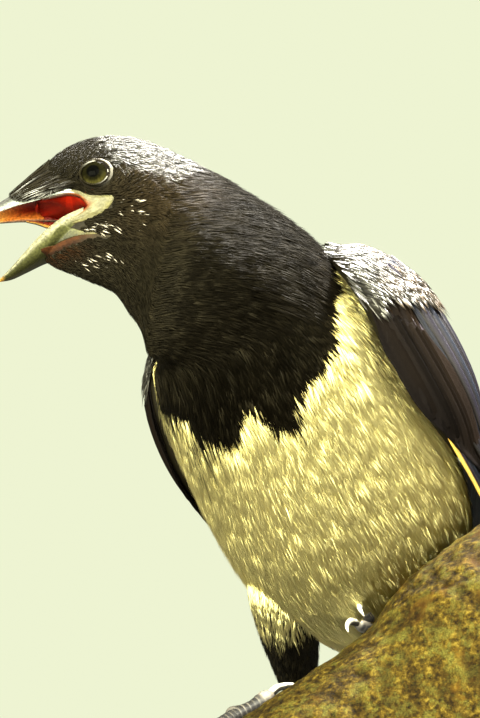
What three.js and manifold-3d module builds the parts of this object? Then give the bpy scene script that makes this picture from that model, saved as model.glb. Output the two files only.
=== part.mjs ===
// A life-size young Eurasian magpie, crouched on a sloping cut branch and calling, on a plain display stand.
// Millimetres, +Z up. The bird's body faces -Y, its left is +X, and the origin is the middle of the
// base's underside.
import * as THREE from "three";
import { mergeVertices } from "three/addons/utils/BufferGeometryUtils.js";
import Module from "manifold-3d";

const wasm = await Module();
wasm.setup();

// Driving dimensions
const GAP = 0.3; // air between pieces that touch
const BILL_GAP = 0.5; // the same round the bill, whose faces slope
const SIDES = 22; // corners of a body section
const TAIL_LENGTH = 205;
const WING_LENGTH = 178;
const EYE_RADIUS = 5.2;
const BRANCH_RADIUS = 34;
const BRANCH_LENGTH = 250;
const BASE_RADIUS = 96;
const BASE_THICK = 14;
const ROD_RADIUS = 4;
const VANE_THICK = 0.55;

// Stance: where each main part sits and how it is turned, in degrees.
// Pitch lifts the front, roll lifts the left side, yaw turns towards the bird's right.
const TORSO_STANCE = { at: [-6.6, -8.2, 266.5], yaw: 0, pitch: 48, roll: 10 };
const HEAD_STANCE = { at: [-39.8, -76.6, 327.5], yaw: 59, pitch: -2, roll: 2 };
const TAIL_STANCE = { pitch: 14, back: 80, up: 1 }; // more droop than the torso, root on the torso's axis
const BRANCH_STANCE = { at: [15.3, 4.2, 162.9], yaw: 30, slope: 40 }; // yaw from +X towards +Y, right end up

const COLOURS = {
  black: [0x17151a, 0.55, 0],
  white: [0xe6e0bd, 0.8, 0],
  wing: [0x12161f, 0.35, 0.1],
  tail: [0x0f1c1a, 0.35, 0.1],
  bill: [0x3b3a2c, 0.45, 0],
  tongue: [0xb4452f, 0.5, 0],
  eye: [0x15120d, 0.1, 0],
  leg: [0x2a2829, 0.55, 0],
  bark: [0x6f6244, 0.9, 0],
  stand: [0x8a6a45, 0.5, 0],
  rod: [0x77797b, 0.35, 0.9],
};

const V = (x, y, z) => new THREE.Vector3(x, y, z);
const rad = THREE.MathUtils.degToRad;
const lerp = THREE.MathUtils.lerp;
const clamp = THREE.MathUtils.clamp;
const smoothstep = THREE.MathUtils.smoothstep;

// Value of a table of [position, value] rows at a position, smooth between the rows.
function along(table, x) {
  const last = table.length - 1;
  if (x <= table[0][0]) return table[0][1];
  if (x >= table[last][0]) return table[last][1];
  const i = table.findIndex((row) => row[0] > x) - 1;
  const [x0, y0] = table[i];
  const [x1, y1] = table[i + 1];
  const before = table[Math.max(i - 1, 0)];
  const after = table[Math.min(i + 2, last)];
  const m0 = ((y1 - before[1]) / (x1 - before[0] || 1)) * (x1 - x0);
  const m1 = ((after[1] - y0) / (after[0] - x0 || 1)) * (x1 - x0);
  const t = (x - x0) / (x1 - x0);
  const t2 = t * t;
  const t3 = t2 * t;
  return (2 * t3 - 3 * t2 + 1) * y0 + (t3 - 2 * t2 + t) * m0 + (3 * t2 - 2 * t3) * y1 + (t3 - t2) * m1;
}

// Solids from meshes and back

function solidOf(geometry) {
  const bare = new THREE.BufferGeometry();
  bare.setAttribute("position", geometry.getAttribute("position").clone());
  if (geometry.index) bare.setIndex(geometry.index.clone());
  const merged = mergeVertices(bare, 1e-4);
  const triVerts = new Uint32Array(merged.index.array);
  const vertProperties = new Float32Array(merged.attributes.position.array);
  const made = new wasm.Manifold(new wasm.Mesh({ numProp: 3, vertProperties, triVerts }));
  if (made.volume() >= 0) return made;
  for (let i = 0; i < triVerts.length; i += 3) {
    [triVerts[i + 1], triVerts[i + 2]] = [triVerts[i + 2], triVerts[i + 1]];
  }
  return new wasm.Manifold(new wasm.Mesh({ numProp: 3, vertProperties, triVerts }));
}

function geometryOf(solid) {
  const mesh = solid.getMesh();
  const position = new Float32Array(mesh.numVert * 3);
  for (let i = 0; i < mesh.numVert; i++) {
    position.set(mesh.vertProperties.subarray(i * mesh.numProp, i * mesh.numProp + 3), i * 3);
  }
  const geometry = new THREE.BufferGeometry();
  geometry.setAttribute("position", new THREE.BufferAttribute(position, 3));
  geometry.setIndex(new THREE.BufferAttribute(mesh.triVerts, 1));
  return geometry;
}

// The largest closed surface of a solid: loose scraps go, and sealed hollows fill.
function largest(solid) {
  const bodies = solid.decompose().sort((a, b) => b.volume() - a.volume());
  return bodies[0];
}

// A closed mesh through rings of equal corner counts, with a flat fan on each end.
// The strips named in turned are cut along their other diagonal.
function loft(rings, turned = []) {
  const n = rings[0].length;
  const points = rings.flat();
  const faces = [];
  for (let i = 0; i < rings.length - 1; i++) {
    for (let k = 0; k < n; k++) {
      const a = i * n + k;
      const b = i * n + ((k + 1) % n);
      if (turned.includes(k)) faces.push([a, b, a + n], [b, b + n, a + n]);
      else faces.push([a, b, b + n], [a, b + n, a + n]);
    }
  }
  const middle = (ring) => ring.reduce((sum, p) => sum.add(p), V(0, 0, 0)).divideScalar(ring.length);
  const start = points.push(middle(rings[0])) - 1;
  const end = points.push(middle(rings[rings.length - 1])) - 1;
  const offset = (rings.length - 1) * n;
  for (let k = 0; k < n; k++) {
    const next = (k + 1) % n;
    faces.push([start, next, k], [end, offset + k, offset + next]);
  }
  const geometry = new THREE.BufferGeometry();
  const position = new Float32Array(points.flatMap((p) => [p.x, p.y, p.z]));
  geometry.setAttribute("position", new THREE.BufferAttribute(position, 3));
  geometry.setIndex(faces.flat());
  return solidOf(geometry);
}

// An egg-shaped ring round a centre, with its own height above and below.
function eggRing({ centre, left, up, width, top, bottom }, sides) {
  return Array.from({ length: sides }, (_, k) => {
    const angle = (2 * Math.PI * k) / sides;
    const rise = Math.cos(angle);
    return centre
      .clone()
      .addScaledVector(left, width * Math.sin(angle))
      .addScaledVector(up, rise * (rise > 0 ? top : bottom));
  });
}

// A round limb through points, each with its own radius, or a copy grown by a margin on every side.
function limb(points, radii, sides, margin = 0) {
  const way = (i) => {
    const ahead = points[Math.min(i + 1, points.length - 1)];
    const behind = points[Math.max(i - 1, 0)];
    return ahead.clone().sub(behind).normalize();
  };
  const rings = points.map((p, i) => {
    const outward = i === 0 ? -margin : i === points.length - 1 ? margin : 0;
    const side = way(i).cross(Math.abs(way(i).z) > 0.9 ? V(0, 1, 0) : V(0, 0, 1)).normalize();
    const up = side.clone().cross(way(i)).normalize();
    const width = radii[i] + margin;
    const centre = p.clone().addScaledVector(way(i), outward);
    return eggRing({ centre, left: side, up, width, top: width, bottom: width }, sides);
  });
  return loft(rings);
}

function stanceMatrix({ at, yaw, pitch, roll }) {
  const turn = new THREE.Euler(rad(-pitch), rad(-roll), rad(-yaw), "ZYX");
  return new THREE.Matrix4().makeRotationFromEuler(turn).setPosition(...at);
}

const torsoFrame = stanceMatrix(TORSO_STANCE);
const headFrame = stanceMatrix(HEAD_STANCE);
const tailFrame = torsoFrame
  .clone()
  .multiply(new THREE.Matrix4().makeTranslation(0, TAIL_STANCE.back, TAIL_STANCE.up))
  .multiply(new THREE.Matrix4().makeRotationX(rad(-TAIL_STANCE.pitch)));
const inTorso = (x, y, z) => V(x, y, z).applyMatrix4(torsoFrame);
const inTail = (x, y, z) => V(x, y, z).applyMatrix4(tailFrame);
const inHead = (left, forward, up) => V(left, -forward, up).applyMatrix4(headFrame); // from between the eyes
const axesOf = (frame) => {
  const [x, y, z] = [V(), V(), V()];
  frame.extractBasis(x, y, z);
  return { x, y, z };
};

// Body: one tube from the face to the tail's root, in sections

// Head sections: crown point and throat point as [forward, up] of the eyes' middle, then half the width.
const HEAD_SECTIONS = [
  { top: [16.9, 8.6], bottom: [16, -22.6], width: 6.4 },
  { top: [13.5, 12], bottom: [13, -24.6], width: 8.3 },
  { top: [8.6, 15.5], bottom: [8, -26.8], width: 10.3 },
  { top: [1.8, 17.9], bottom: [2, -29.6], width: 12.6 },
  { top: [-6, 18.3], bottom: [-4.5, -33], width: 14.6 },
  { top: [-14, 16.6], bottom: [-8.5, -39.5], width: 16.6 },
  { top: [-22, 12.4], bottom: [-12, -45], width: 19.3 },
  { top: [-30.5, 7.2], bottom: [-13.6, -52.5], width: 22.6 },
];
// Torso sections: distance back along the torso's axis, half width, height above and below the axis.
const TORSO_SECTIONS = [
  [-38, 34, 30, 35.5],
  [-24, 38, 33, 38],
  [-5, 39.5, 35, 40],
  [18, 40, 36, 41],
  [40, 38, 34, 38],
  [58, 30.5, 29, 28],
  [74, 20.5, 22, 16],
  [88, 13, 13.5, 9],
];
const NECK_SECTIONS = 6; // sections between the head's last and the torso's first
const NECK_PULL = 0.9; // how far the neck holds each end's direction
const NAPE_DIP = 0.1; // share by which the neck's upper side sinks at its middle

function headSection({ top, bottom, width }) {
  const crown = inHead(0, ...top);
  const throat = inHead(0, ...bottom);
  const half = crown.distanceTo(throat) / 2;
  return {
    centre: crown.clone().add(throat).multiplyScalar(0.5),
    left: axesOf(headFrame).x,
    up: crown.sub(throat).normalize(),
    width,
    top: half,
    bottom: half,
  };
}

function torsoSection([back, width, top, bottom]) {
  const { x, z } = axesOf(torsoFrame);
  return { centre: inTorso(0, back, 0), left: x, up: z, width, top, bottom };
}

function quaternionOf({ left, up }) {
  const basis = new THREE.Matrix4().makeBasis(left, up.clone().cross(left), up);
  return new THREE.Quaternion().setFromRotationMatrix(basis);
}

// Sections of the neck, turning smoothly from the head's last section to the torso's first.
function neckSections(from, to) {
  const qa = quaternionOf(from);
  const qb = quaternionOf(to);
  const reach = from.centre.distanceTo(to.centre) * NECK_PULL;
  const wayA = from.up.clone().cross(from.left).multiplyScalar(reach);
  const wayB = to.up.clone().cross(to.left).multiplyScalar(reach);
  return Array.from({ length: NECK_SECTIONS }, (_, i) => {
    const t = (i + 1) / (NECK_SECTIONS + 1);
    const t2 = t * t;
    const t3 = t2 * t;
    const centre = from.centre
      .clone()
      .multiplyScalar(2 * t3 - 3 * t2 + 1)
      .addScaledVector(wayA, t3 - 2 * t2 + t)
      .addScaledVector(to.centre, 3 * t2 - 2 * t3)
      .addScaledVector(wayB, t3 - t2);
    const turn = qa.clone().slerp(qb, t);
    return {
      centre,
      left: V(1, 0, 0).applyQuaternion(turn),
      up: V(0, 0, 1).applyQuaternion(turn),
      width: lerp(from.width, to.width, smoothstep(t, -0.3, 1.2)),
      top: lerp(from.top, to.top, t) * (1 - NAPE_DIP * Math.sin(Math.PI * t)),
      bottom: lerp(from.bottom, to.bottom, t),
    };
  });
}

// Doubles the count of sections by a smooth curve through their sizes and places.
function refine(sections) {
  const at = (i) => sections[clamp(i, 0, sections.length - 1)];
  const middle = (pick, i) => (9 * (pick(at(i)) + pick(at(i + 1))) - pick(at(i - 1)) - pick(at(i + 2))) / 16;
  const middleVector = (key, i) => V(...["x", "y", "z"].map((axis) => middle((s) => s[key][axis], i)));
  const made = [];
  sections.forEach((section, i) => {
    made.push(section);
    if (i === sections.length - 1) return;
    made.push({
      centre: middleVector("centre", i),
      left: middleVector("left", i).normalize(),
      up: middleVector("up", i).normalize(),
      width: middle((s) => s.width, i),
      top: middle((s) => s.top, i),
      bottom: middle((s) => s.bottom, i),
    });
  });
  return made;
}

const headPart = HEAD_SECTIONS.map(headSection);
const torsoPart = TORSO_SECTIONS.map(torsoSection);
const neckPart = neckSections(headPart[headPart.length - 1], torsoPart[0]);
const bodySections = [...refine(headPart), ...neckPart, ...refine(torsoPart)];

function bodyTube(margin) {
  const last = bodySections.length - 1;
  return loft(
    bodySections.map((s, i) => {
      const outward = i === 0 ? -margin : i === last ? margin : 0;
      const centre = s.centre.clone().addScaledVector(s.up.clone().cross(s.left), outward);
      const size = { width: s.width + margin, top: s.top + margin, bottom: s.bottom + margin };
      return eggRing({ ...s, ...size, centre }, SIDES);
    }),
  );
}

// The part of a solid behind (sign 1) or before (sign -1) a section's plane, less half of the gap.
function beyond(solid, section, sign) {
  const normal = section.up.clone().cross(section.left).multiplyScalar(sign);
  const offset = normal.dot(section.centre) + GAP / 2;
  return solid.trimByPlane([normal.x, normal.y, normal.z], offset);
}

const REFINED_HEAD = 2 * headPart.length - 1;
const HEAD_END = bodySections[REFINED_HEAD - 5];
const NECK_END = bodySections[REFINED_HEAD + NECK_SECTIONS - 2];

const body = bodyTube(0);
const grownBody = bodyTube(GAP);

// Bill: rows of [forward, ridge height, edge height, half width]
const UPPER_BILL = [
  [6.2, -0.5, -5.6, 11.2],
  [9, 1.6, -5.2, 10.7],
  [13, 3.4, -5.2, 9.4],
  [18, 2.6, -5.9, 7.5],
  [24, 0.3, -6.6, 5.7],
  [29, -2.6, -7.6, 4.1],
  [34, -5.9, -8.6, 2.5],
  [38, -9.3, -9.8, 0.4],
];
const LOWER_BILL = [
  [4, -16, -11, 12.2],
  [10.3, -19.3, -13.3, 10.6],
  [16.6, -22.6, -17.2, 7.7],
  [21.6, -25.6, -21.6, 5.1],
  [26, -28, -25.8, 2.9],
  [29.8, -29, -28.6, 0.4],
];
const BILL_HOLLOW = 0.45; // share of the bill's depth that its inner face is hollowed by

// A bill half: a ridged outer face and a hollowed inner one between two cutting edges.
function billHalf(rows, margin) {
  const rings = rows.map(([at, ridge, edge, width], i) => {
    const forward = i === 0 ? at - margin : at;
    const outward = Math.sign(ridge - edge);
    const far = ridge + margin * outward;
    const near = edge - margin * outward;
    const wide = width + margin;
    const deep = lerp(near, far, margin ? 0 : BILL_HOLLOW);
    const outer = [-1, -0.88, -0.5, 0, 0.5, 0.88, 1].map((u) => {
      const rise = Math.pow(1 - Math.pow(Math.abs(u), 2.4), 0.75);
      return inHead(u * wide, forward, lerp(near, far, rise));
    });
    const inner = [0.75, 0.35, -0.35, -0.75].map((u) =>
      inHead(u * wide * 0.9, forward, lerp(deep, near, Math.pow(Math.abs(u), 2))),
    );
    return [...outer, ...inner];
  });
  return loft(rings);
}

// Mouth: a wedge between the jaws, and the hollow of the throat behind its corner
const GAPE = { forward: 2.7, up: -9.8 };
const MOUTH_PROFILE = [
  [GAPE.forward, GAPE.up],
  [5, -6.6],
  [9, -4.9],
  [18, -5.2],
  [30, -7],
  [48, -11],
  [48, -46],
  [29, -30],
  [21.6, -22.6],
  [16.6, -18],
  [10.3, -13.8],
  [6, -11.8],
];
const MOUTH_HALF_WIDTH = 16;

function mouthWedge() {
  const ringAt = (side) => MOUTH_PROFILE.map(([forward, up]) => inHead(side * MOUTH_HALF_WIDTH, forward, up));
  const shape = new THREE.Shape(MOUTH_PROFILE.map(([forward, up]) => new THREE.Vector2(forward, up)));
  const triangles = THREE.ShapeUtils.triangulateShape(shape.getPoints(), []);
  const points = [...ringAt(-1), ...ringAt(1)];
  const n = MOUTH_PROFILE.length;
  const faces = [];
  triangles.forEach(([a, b, c]) => faces.push([a, c, b], [a + n, b + n, c + n]));
  for (let k = 0; k < n; k++) {
    const next = (k + 1) % n;
    faces.push([k, k + n, next + n], [k, next + n, next]);
  }
  const geometry = new THREE.BufferGeometry();
  const position = new Float32Array(points.flatMap((p) => [p.x, p.y, p.z]));
  geometry.setAttribute("position", new THREE.BufferAttribute(position, 3));
  geometry.setIndex(faces.flat());
  return solidOf(geometry);
}

function throatHollow() {
  const rows = [
    [-5, 2, 1.2],
    [-2, 5, 2.6],
    [2, 7, 3.4],
    [7, 7.6, 3.6],
    [14, 6, 3.4],
  ];
  return loft(
    rows.map(([forward, width, height]) =>
      eggRing(
        {
          centre: inHead(0, forward, GAPE.up - (GAPE.forward - forward) * 0.25),
          left: axesOf(headFrame).x,
          up: axesOf(headFrame).z,
          width,
          top: height,
          bottom: height,
        },
        12,
      ),
    ),
  );
}

// The pale swollen lip round the corner of the mouth, and its point towards the cheek.
// Rows of [forward, up, out, radius].
const GAPE_LIP = [
  [15, -5.2, 8.9, 0.5],
  [9.5, -4.9, 10.4, 0.7],
  [5.6, -5.9, 11.6, 0.9],
  [1.6, -9.3, 12.6, 2.1],
  [2.6, -12.8, 12.1, 1.7],
  [8, -14.4, 10.6, 1],
];
const GAPE_POINT = [
  [2, -10, 12.5, 2],
  [-1.6, -9.6, 13, 1.8],
  [-4.6, -9, 13.2, 0.8],
];

function gapeLip(side) {
  const roll = (rows, sides) =>
    limb(
      rows.map(([forward, up, out]) => inHead(side * out, forward, up)),
      rows.map((row) => row[3]),
      sides,
    );
  return roll(GAPE_LIP, 7).add(roll(GAPE_POINT, 6));
}

// Stiff bristles that lie forward over the base of the bill, on both sides and the ridge.
const BRISTLE_ROWS = 4;
const BRISTLE_BULGE = 1.1; // how far a bristle's middle stands off the line between its ends
const BRISTLE_RADII = [0.9, 1.3, 1, 0.4];

function bristle(side, row) {
  const share = row / (BRISTLE_ROWS - 1);
  const start = { forward: lerp(12, 10, share), up: lerp(10.8, 0, share), out: lerp(3.2, 9.4, share) };
  const end = { forward: lerp(26.4, 24, share), up: lerp(1.2, -3.4, share), out: lerp(1, 5.8, share) };
  const path = [0, 0.35, 0.7, 1].map((t) => {
    const bulge = Math.sin(Math.PI * t) * BRISTLE_BULGE;
    return inHead(
      side * (lerp(start.out, end.out, t) + bulge * share),
      lerp(start.forward, end.forward, t),
      lerp(start.up, end.up, t) + bulge * (1 - share),
    );
  });
  return limb(path, BRISTLE_RADII, 4);
}

const EYE = { out: 9.9, forward: 0, up: 0 };
const EYE_COLUMNS = 14;
const EYE_ROWS = 9;
const LID = { radius: 4.2, thick: 0.75, lift: 3.05 }; // lift: out from the eye's middle

function eyeball(side, margin) {
  const centre = inHead(side * EYE.out, EYE.forward, EYE.up);
  const geometry = new THREE.SphereGeometry(EYE_RADIUS + margin, EYE_COLUMNS, EYE_ROWS);
  geometry.translate(centre.x, centre.y, centre.z);
  return solidOf(geometry);
}

// A rim of lid round the eye's opening.
function lidRing(side) {
  const geometry = new THREE.TorusGeometry(LID.radius, LID.thick, 5, 15);
  const out = axesOf(headFrame).x.multiplyScalar(side);
  const turn = new THREE.Quaternion().setFromUnitVectors(V(0, 0, 1), out);
  const centre = inHead(side * (EYE.out + LID.lift), EYE.forward, EYE.up);
  geometry.applyQuaternion(turn);
  geometry.translate(centre.x, centre.y, centre.z);
  return solidOf(geometry);
}

function makeHead() {
  let head = beyond(body, HEAD_END, -1);
  for (const side of [-1, 1]) {
    head = head.add(lidRing(side)).add(gapeLip(side));
    for (let row = 0; row < BRISTLE_ROWS; row++) head = head.add(bristle(side, row));
  }
  head = head.subtract(mouthWedge()).subtract(throatHollow());
  head = head.subtract(billHalf(UPPER_BILL, BILL_GAP)).subtract(billHalf(LOWER_BILL, BILL_GAP));
  for (const side of [-1, 1]) head = head.subtract(eyeball(side, GAP));
  return largest(head.subtract(tongue(GAP)));
}

const makeNeck = () => largest(beyond(beyond(body, HEAD_END, 1), NECK_END, -1));

// The tongue lies in the lower jaw: rows of [forward, up, half width, half height].
const TONGUE = [
  [-8, -10.5, 2.6, 1.4],
  [2, -12.6, 3.1, 1.3],
  [9, -15, 3.2, 1.1],
  [15, -18.4, 2.4, 0.9],
  [20, -22, 1, 0.5],
];

function tongue(margin) {
  const { x, z } = axesOf(headFrame);
  const rings = TONGUE.map(([at, up, width, height], i) => {
    const centre = inHead(0, i === 0 ? at - margin : at, up);
    const half = height + margin;
    return eggRing({ centre, left: x, up: z, width: width + margin, top: half, bottom: half }, 10);
  });
  return loft(rings);
}

// Vanes

const VANE_STEPS = [0, 0.4, 0.75, 0.92, 1];
const SHORT_STEPS = [0, 0.5, 0.86, 1]; // for coverts

// Share of a vane's full width at a share of its length: narrow root, broad middle, rounded tip.
function vaneOutline(t, tip) {
  const root = lerp(0.5, 1, smoothstep(t, 0, 0.35));
  const end = t < 0.7 ? 1 : Math.sqrt(Math.max(0, 1 - Math.pow((t - 0.7) / 0.31, 2)));
  return root * lerp(1, Math.max(end, 0.16), tip);
}

// A thin closed feather. Its place function gives a point for its share of length, its share across
// from -1 to 1, and its lift.
function vane(place, steps = VANE_STEPS) {
  const rings = steps.map((t) => {
    const wide = vaneOutline(t, 1);
    return [
      place(t, -wide, 0),
      place(t, wide, 0),
      place(t, wide, VANE_THICK),
      place(t, -wide, VANE_THICK),
    ];
  });
  return loft(rings, [2]);
}

// Wings: a surface bent round the torso, on which feathers lie in overlapping tiers

const WING_START = -42; // the wrist, on the torso's axis
const WING_RADIUS = [
  [-46, 36],
  [-30, 42],
  [0, 45.5],
  [25, 45],
  [50, 41],
  [80, 35],
  [110, 31],
  [150, 27],
];
const WING_LOW_EDGE = [
  [-46, -16],
  [-20, -24],
  [10, -22],
  [40, -11],
  [80, 12],
  [110, 26],
  [150, 38],
];
// How much higher round the body each wing lies than those rows, in degrees, at the wrist
// and at the rear, how full its thickness is, and how much tighter it hugs the body.
const WING_HOLD = {
  left: { side: 1, front: 0, rear: 0, full: 1, tight: 0 },
  right: { side: -1, front: 14, rear: 12, full: 0.85, tight: 3 },
};

// A point of the wing: distance from the wrist, distance up from the low edge, height off the inner face.
function onWing(hold, length, across, height) {
  const back = WING_START + length;
  const radius = along(WING_RADIUS, back) - hold.tight;
  const low = along(WING_LOW_EDGE, back) + lerp(hold.front, hold.rear, smoothstep(back, -20, 50));
  const angle = rad(low) + across / radius;
  const out = radius + height;
  return inTorso(hold.side * out * Math.cos(angle), back, out * Math.sin(angle));
}

// The wing's arm with its small coverts: a flat smooth form that every vane's root sinks into.
const ARM_ROWS = [
  // length, low edge, high edge, thickness
  [-6, 14, 26, 3],
  [0, 8, 34, 6.5],
  [14, 4, 44, 9],
  [34, 3, 49, 9.5],
  [52, 5, 50, 8],
  [66, 9, 48, 5],
];

const ARM_INNER = -6; // how deep the arm's inner face would lie if the body did not cut it

function wingArm(hold) {
  const corners = 12;
  const rings = ARM_ROWS.map(([length, low, high, thick]) =>
    Array.from({ length: corners }, (_, k) => {
      const angle = (2 * Math.PI * k) / corners;
      const across = lerp(low, high, 0.5 - 0.5 * Math.cos(angle));
      const height = lerp(ARM_INNER, thick * hold.full, 0.5 + 0.5 * Math.sin(angle));
      return onWing(hold, length, across, height);
    }),
  );
  return loft(rings);
}

// Tiers of feathers. Each runs from its first feather at the low edge to its last at the high edge:
// count, root and tip as [length, across] of first and last, width, height off the wing's inner face.
const WING_TIERS = {
  primaries: {
    count: 5,
    root: [[40, 7], [58, 21]],
    tip: [[128, 4], [WING_LENGTH, 19]],
    width: 8.5,
    lift: 0.6,
  },
  secondaries: { count: 6, root: [[46, 15], [52, 42]], tip: [[120, 15], [132, 39]], width: 10.5, lift: 1.9 },
  tertials: { count: 2, root: [[50, 40], [48, 46]], tip: [[116, 42], [98, 47]], width: 9.5, lift: 2.9 },
  primaryCoverts: { count: 3, root: [[18, 6], [34, 13]], tip: [[60, 4], [76, 12]], width: 7, lift: 3 },
  greaterCoverts: { count: 5, root: [[34, 15], [42, 43]], tip: [[72, 16], [82, 45]], width: 10, lift: 3.4 },
  medianCoverts: { count: 4, root: [[20, 15], [28, 41]], tip: [[48, 15], [56, 43]], width: 10.5, lift: 5 },
  alula: { count: 2, root: [[8, 8], [14, 12]], tip: [[38, 3], [48, 7]], width: 6, lift: 5.4 },
};
const LONG_VANE = 60; // feathers shorter than this have fewer steps
const WING_CLIMB = 0.14; // how much higher a feather lies for each millimetre its middle is up the wing
const WING_TILT = 0.05; // slope across each feather, its low edge raised
const WING_SETTLE = 0.35; // share of their height that the feathers lose towards the wing's tip

function wingVane(hold, tier, share) {
  const root = [0, 1].map((axis) => lerp(tier.root[0][axis], tier.root[1][axis], share));
  const tip = [0, 1].map((axis) => lerp(tier.tip[0][axis], tier.tip[1][axis], share));
  return vane((t, side, thick) => {
    const length = lerp(root[0], tip[0], t);
    const middle = lerp(root[1], tip[1], t);
    const off = (side * tier.width) / 2;
    const settle = 1 - WING_SETTLE * smoothstep(length, 20, WING_LENGTH);
    const height = (tier.lift + middle * WING_CLIMB - off * WING_TILT) * settle;
    return onWing(hold, length, middle + off, height * hold.full + thick);
  }, tip[0] - root[0] > LONG_VANE ? VANE_STEPS : SHORT_STEPS);
}

function makeWing(hold) {
  let wing = wingArm(hold);
  for (const tier of Object.values(WING_TIERS)) {
    for (let i = 0; i < tier.count; i++) wing = wing.add(wingVane(hold, tier, i / (tier.count - 1)));
  }
  return wing;
}

// Tail: twelve graduated feathers, the middle pair longest and on top

const TAIL_GRADES = [1, 0.93, 0.84, 0.74, 0.64, 0.53]; // share of the full length, from the middle pair out
const TAIL_WIDTH = 22;
const TAIL_LAYER = 0.9;
const TAIL_FAN = 1.6; // degrees between neighbours
const TAIL_DROOP = 0.00022; // droop for each square millimetre back
const TAIL_ROOT = [
  // distance back, half width, height above and below the tail's axis
  [-4, 9, 8, 7.5],
  [6, 12.5, 7.5, 8],
  [18, 12, 5, 7],
  [32, 8, 2.4, 4.5],
];
// Over and under: how far back the coverts on the tail's upper and lower side reach.
const TAIL_COVERTS = { count: 4, width: 15, pitch: 5.6, over: 52, under: 58 };

function tailFeather(pair, side) {
  const length = TAIL_LENGTH * TAIL_GRADES[pair];
  const layer = -pair * TAIL_LAYER + (pair === 0 && side > 0 ? TAIL_LAYER : 0);
  const fan = rad(TAIL_FAN * pair) * side;
  const inner = pair === 0 ? 1.5 : TAIL_WIDTH / 2 - 1 + pair * 0.35;
  return vane((t, across, lift) => {
    const x = side * inner * lerp(0.35, 1, smoothstep(t, 0, 0.3)) + (across * TAIL_WIDTH) / 2;
    const y = length * t;
    const bend = -TAIL_DROOP * y * y;
    return inTail(x * Math.cos(fan) + y * Math.sin(fan) * 0.5, y, layer + lift + bend);
  });
}

// Coverts over and under the tail's root, as a few overlapping vanes.
function tailCovert(face, index) {
  const { count, width, pitch, over, under } = TAIL_COVERTS;
  const side = index - (count - 1) / 2;
  const reach = (face > 0 ? over : under) - Math.abs(side) * 9;
  return vane(
    (t, across, lift) =>
      inTail(
        side * pitch + (across * width) / 2,
        -6 + reach * t,
        face * lerp(7.5, face > 0 ? 2.4 : 6.6, t) + lift - Math.abs(side) * 0.7 * face,
      ),
    SHORT_STEPS,
  );
}

function makeTail() {
  const { x, z } = axesOf(tailFrame);
  let tail = loft(
    TAIL_ROOT.map(([back, width, top, bottom]) =>
      eggRing({ centre: inTail(0, back, 0), left: x, up: z, width, top, bottom }, 14),
    ),
  );
  for (let pair = 0; pair < TAIL_GRADES.length; pair++) {
    for (const side of [-1, 1]) tail = tail.add(tailFeather(pair, side));
  }
  for (const face of [-1, 1]) {
    for (let index = 0; index < TAIL_COVERTS.count; index++) tail = tail.add(tailCovert(face, index));
  }
  return tail;
}

// Branch: a cut length, gently uneven, with its own axis and angle round it

const branchYaw = rad(BRANCH_STANCE.yaw);
const branchSlope = rad(BRANCH_STANCE.slope);
const branchHeading = V(Math.cos(branchYaw), Math.sin(branchYaw), 0);
const BRANCH = {
  at: V(...BRANCH_STANCE.at),
  way: branchHeading.clone().multiplyScalar(Math.cos(branchSlope)).setZ(Math.sin(branchSlope)),
  up: branchHeading.clone().multiplyScalar(-Math.sin(branchSlope)).setZ(Math.cos(branchSlope)),
  back: V(-Math.sin(branchYaw), Math.cos(branchYaw), 0),
};
const BRANCH_FROM = -110; // where the branch starts, along its axis
// How much the branch's upper side stands out from its mean radius, at distances along it.
const TOP_LINE = [
  [-110, 2.5],
  [-50, 4.5],
  [-28, 4.1],
  [-10, 2.2],
  [10, -0.2],
  [21, -0.2],
  [34, 3],
  [46, 3.8],
  [70, 2.8],
  [140, 1.5],
];

// Radius of the branch at a distance along it and an angle from its top towards the back.
function branchRadius(along_, angle) {
  const swell = 1.6 * Math.sin(along_ / 31) + 0.9 * Math.sin(along_ / 17 + 2 * angle);
  const under = 2.2 * Math.cos(2 * angle + 0.6 + along_ / 90) + 1.2 * Math.cos(3 * angle - along_ / 55);
  const topQuiet = 0.25 + 0.75 * smoothstep(Math.abs(angle), 0.5, 1.6);
  const top = along(TOP_LINE, along_) * Math.pow(Math.cos(angle / 2), 2);
  return BRANCH_RADIUS + (swell + under) * topQuiet + top;
}

function onBranch(along_, angle, height) {
  const out = branchRadius(along_, angle) + height;
  return BRANCH.at
    .clone()
    .addScaledVector(BRANCH.way, along_)
    .addScaledVector(BRANCH.up, out * Math.cos(angle))
    .addScaledVector(BRANCH.back, out * Math.sin(angle));
}

function makeBranch(margin) {
  const steps = 16;
  const sides = 18;
  const rings = Array.from({ length: steps + 1 }, (_, i) => {
    const at = BRANCH_FROM + (BRANCH_LENGTH * i) / steps;
    return Array.from({ length: sides }, (_, k) => onBranch(at, Math.PI * (2 * (k / sides) - 1), margin));
  });
  return loft(rings);
}

const branch = makeBranch(0);
const grownBranch = makeBranch(GAP);

// Legs: feathered thigh, bare shank, and toes laid over the branch

// Per leg: hip in the torso's frame; ankle in space; foot as [along the branch, degrees behind its top];
// toes as [direction in degrees from the branch's low end towards its back, length], back toe last;
// rise is how far the toes' ends stand off the branch.
const LEGS = {
  left: {
    hip: [16, 26, -20],
    ankle: [27, 49, 216],
    foot: [30, 28],
    toes: [[12, 15], [-50, 14], [-68, 15], [150, 14]],
    rise: 2.8,
  },
  right: {
    hip: [-17, 24, -22],
    ankle: [-29.8, 30.3, 193.8],
    foot: [-27, 3],
    toes: [[-30, 20], [-6, 23], [16, 18], [165, 14]],
    rise: 0.4,
  },
};
const TOE_RADIUS = 2;
const CLAW_LENGTH = 9;
const PALM_HEIGHT = 3;
const TOE_PADS = [2.2, 1.9, 2.05, 1.6];
const CLAW_RADII = [1.3, 1.15, 0.75, 0.25];
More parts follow.
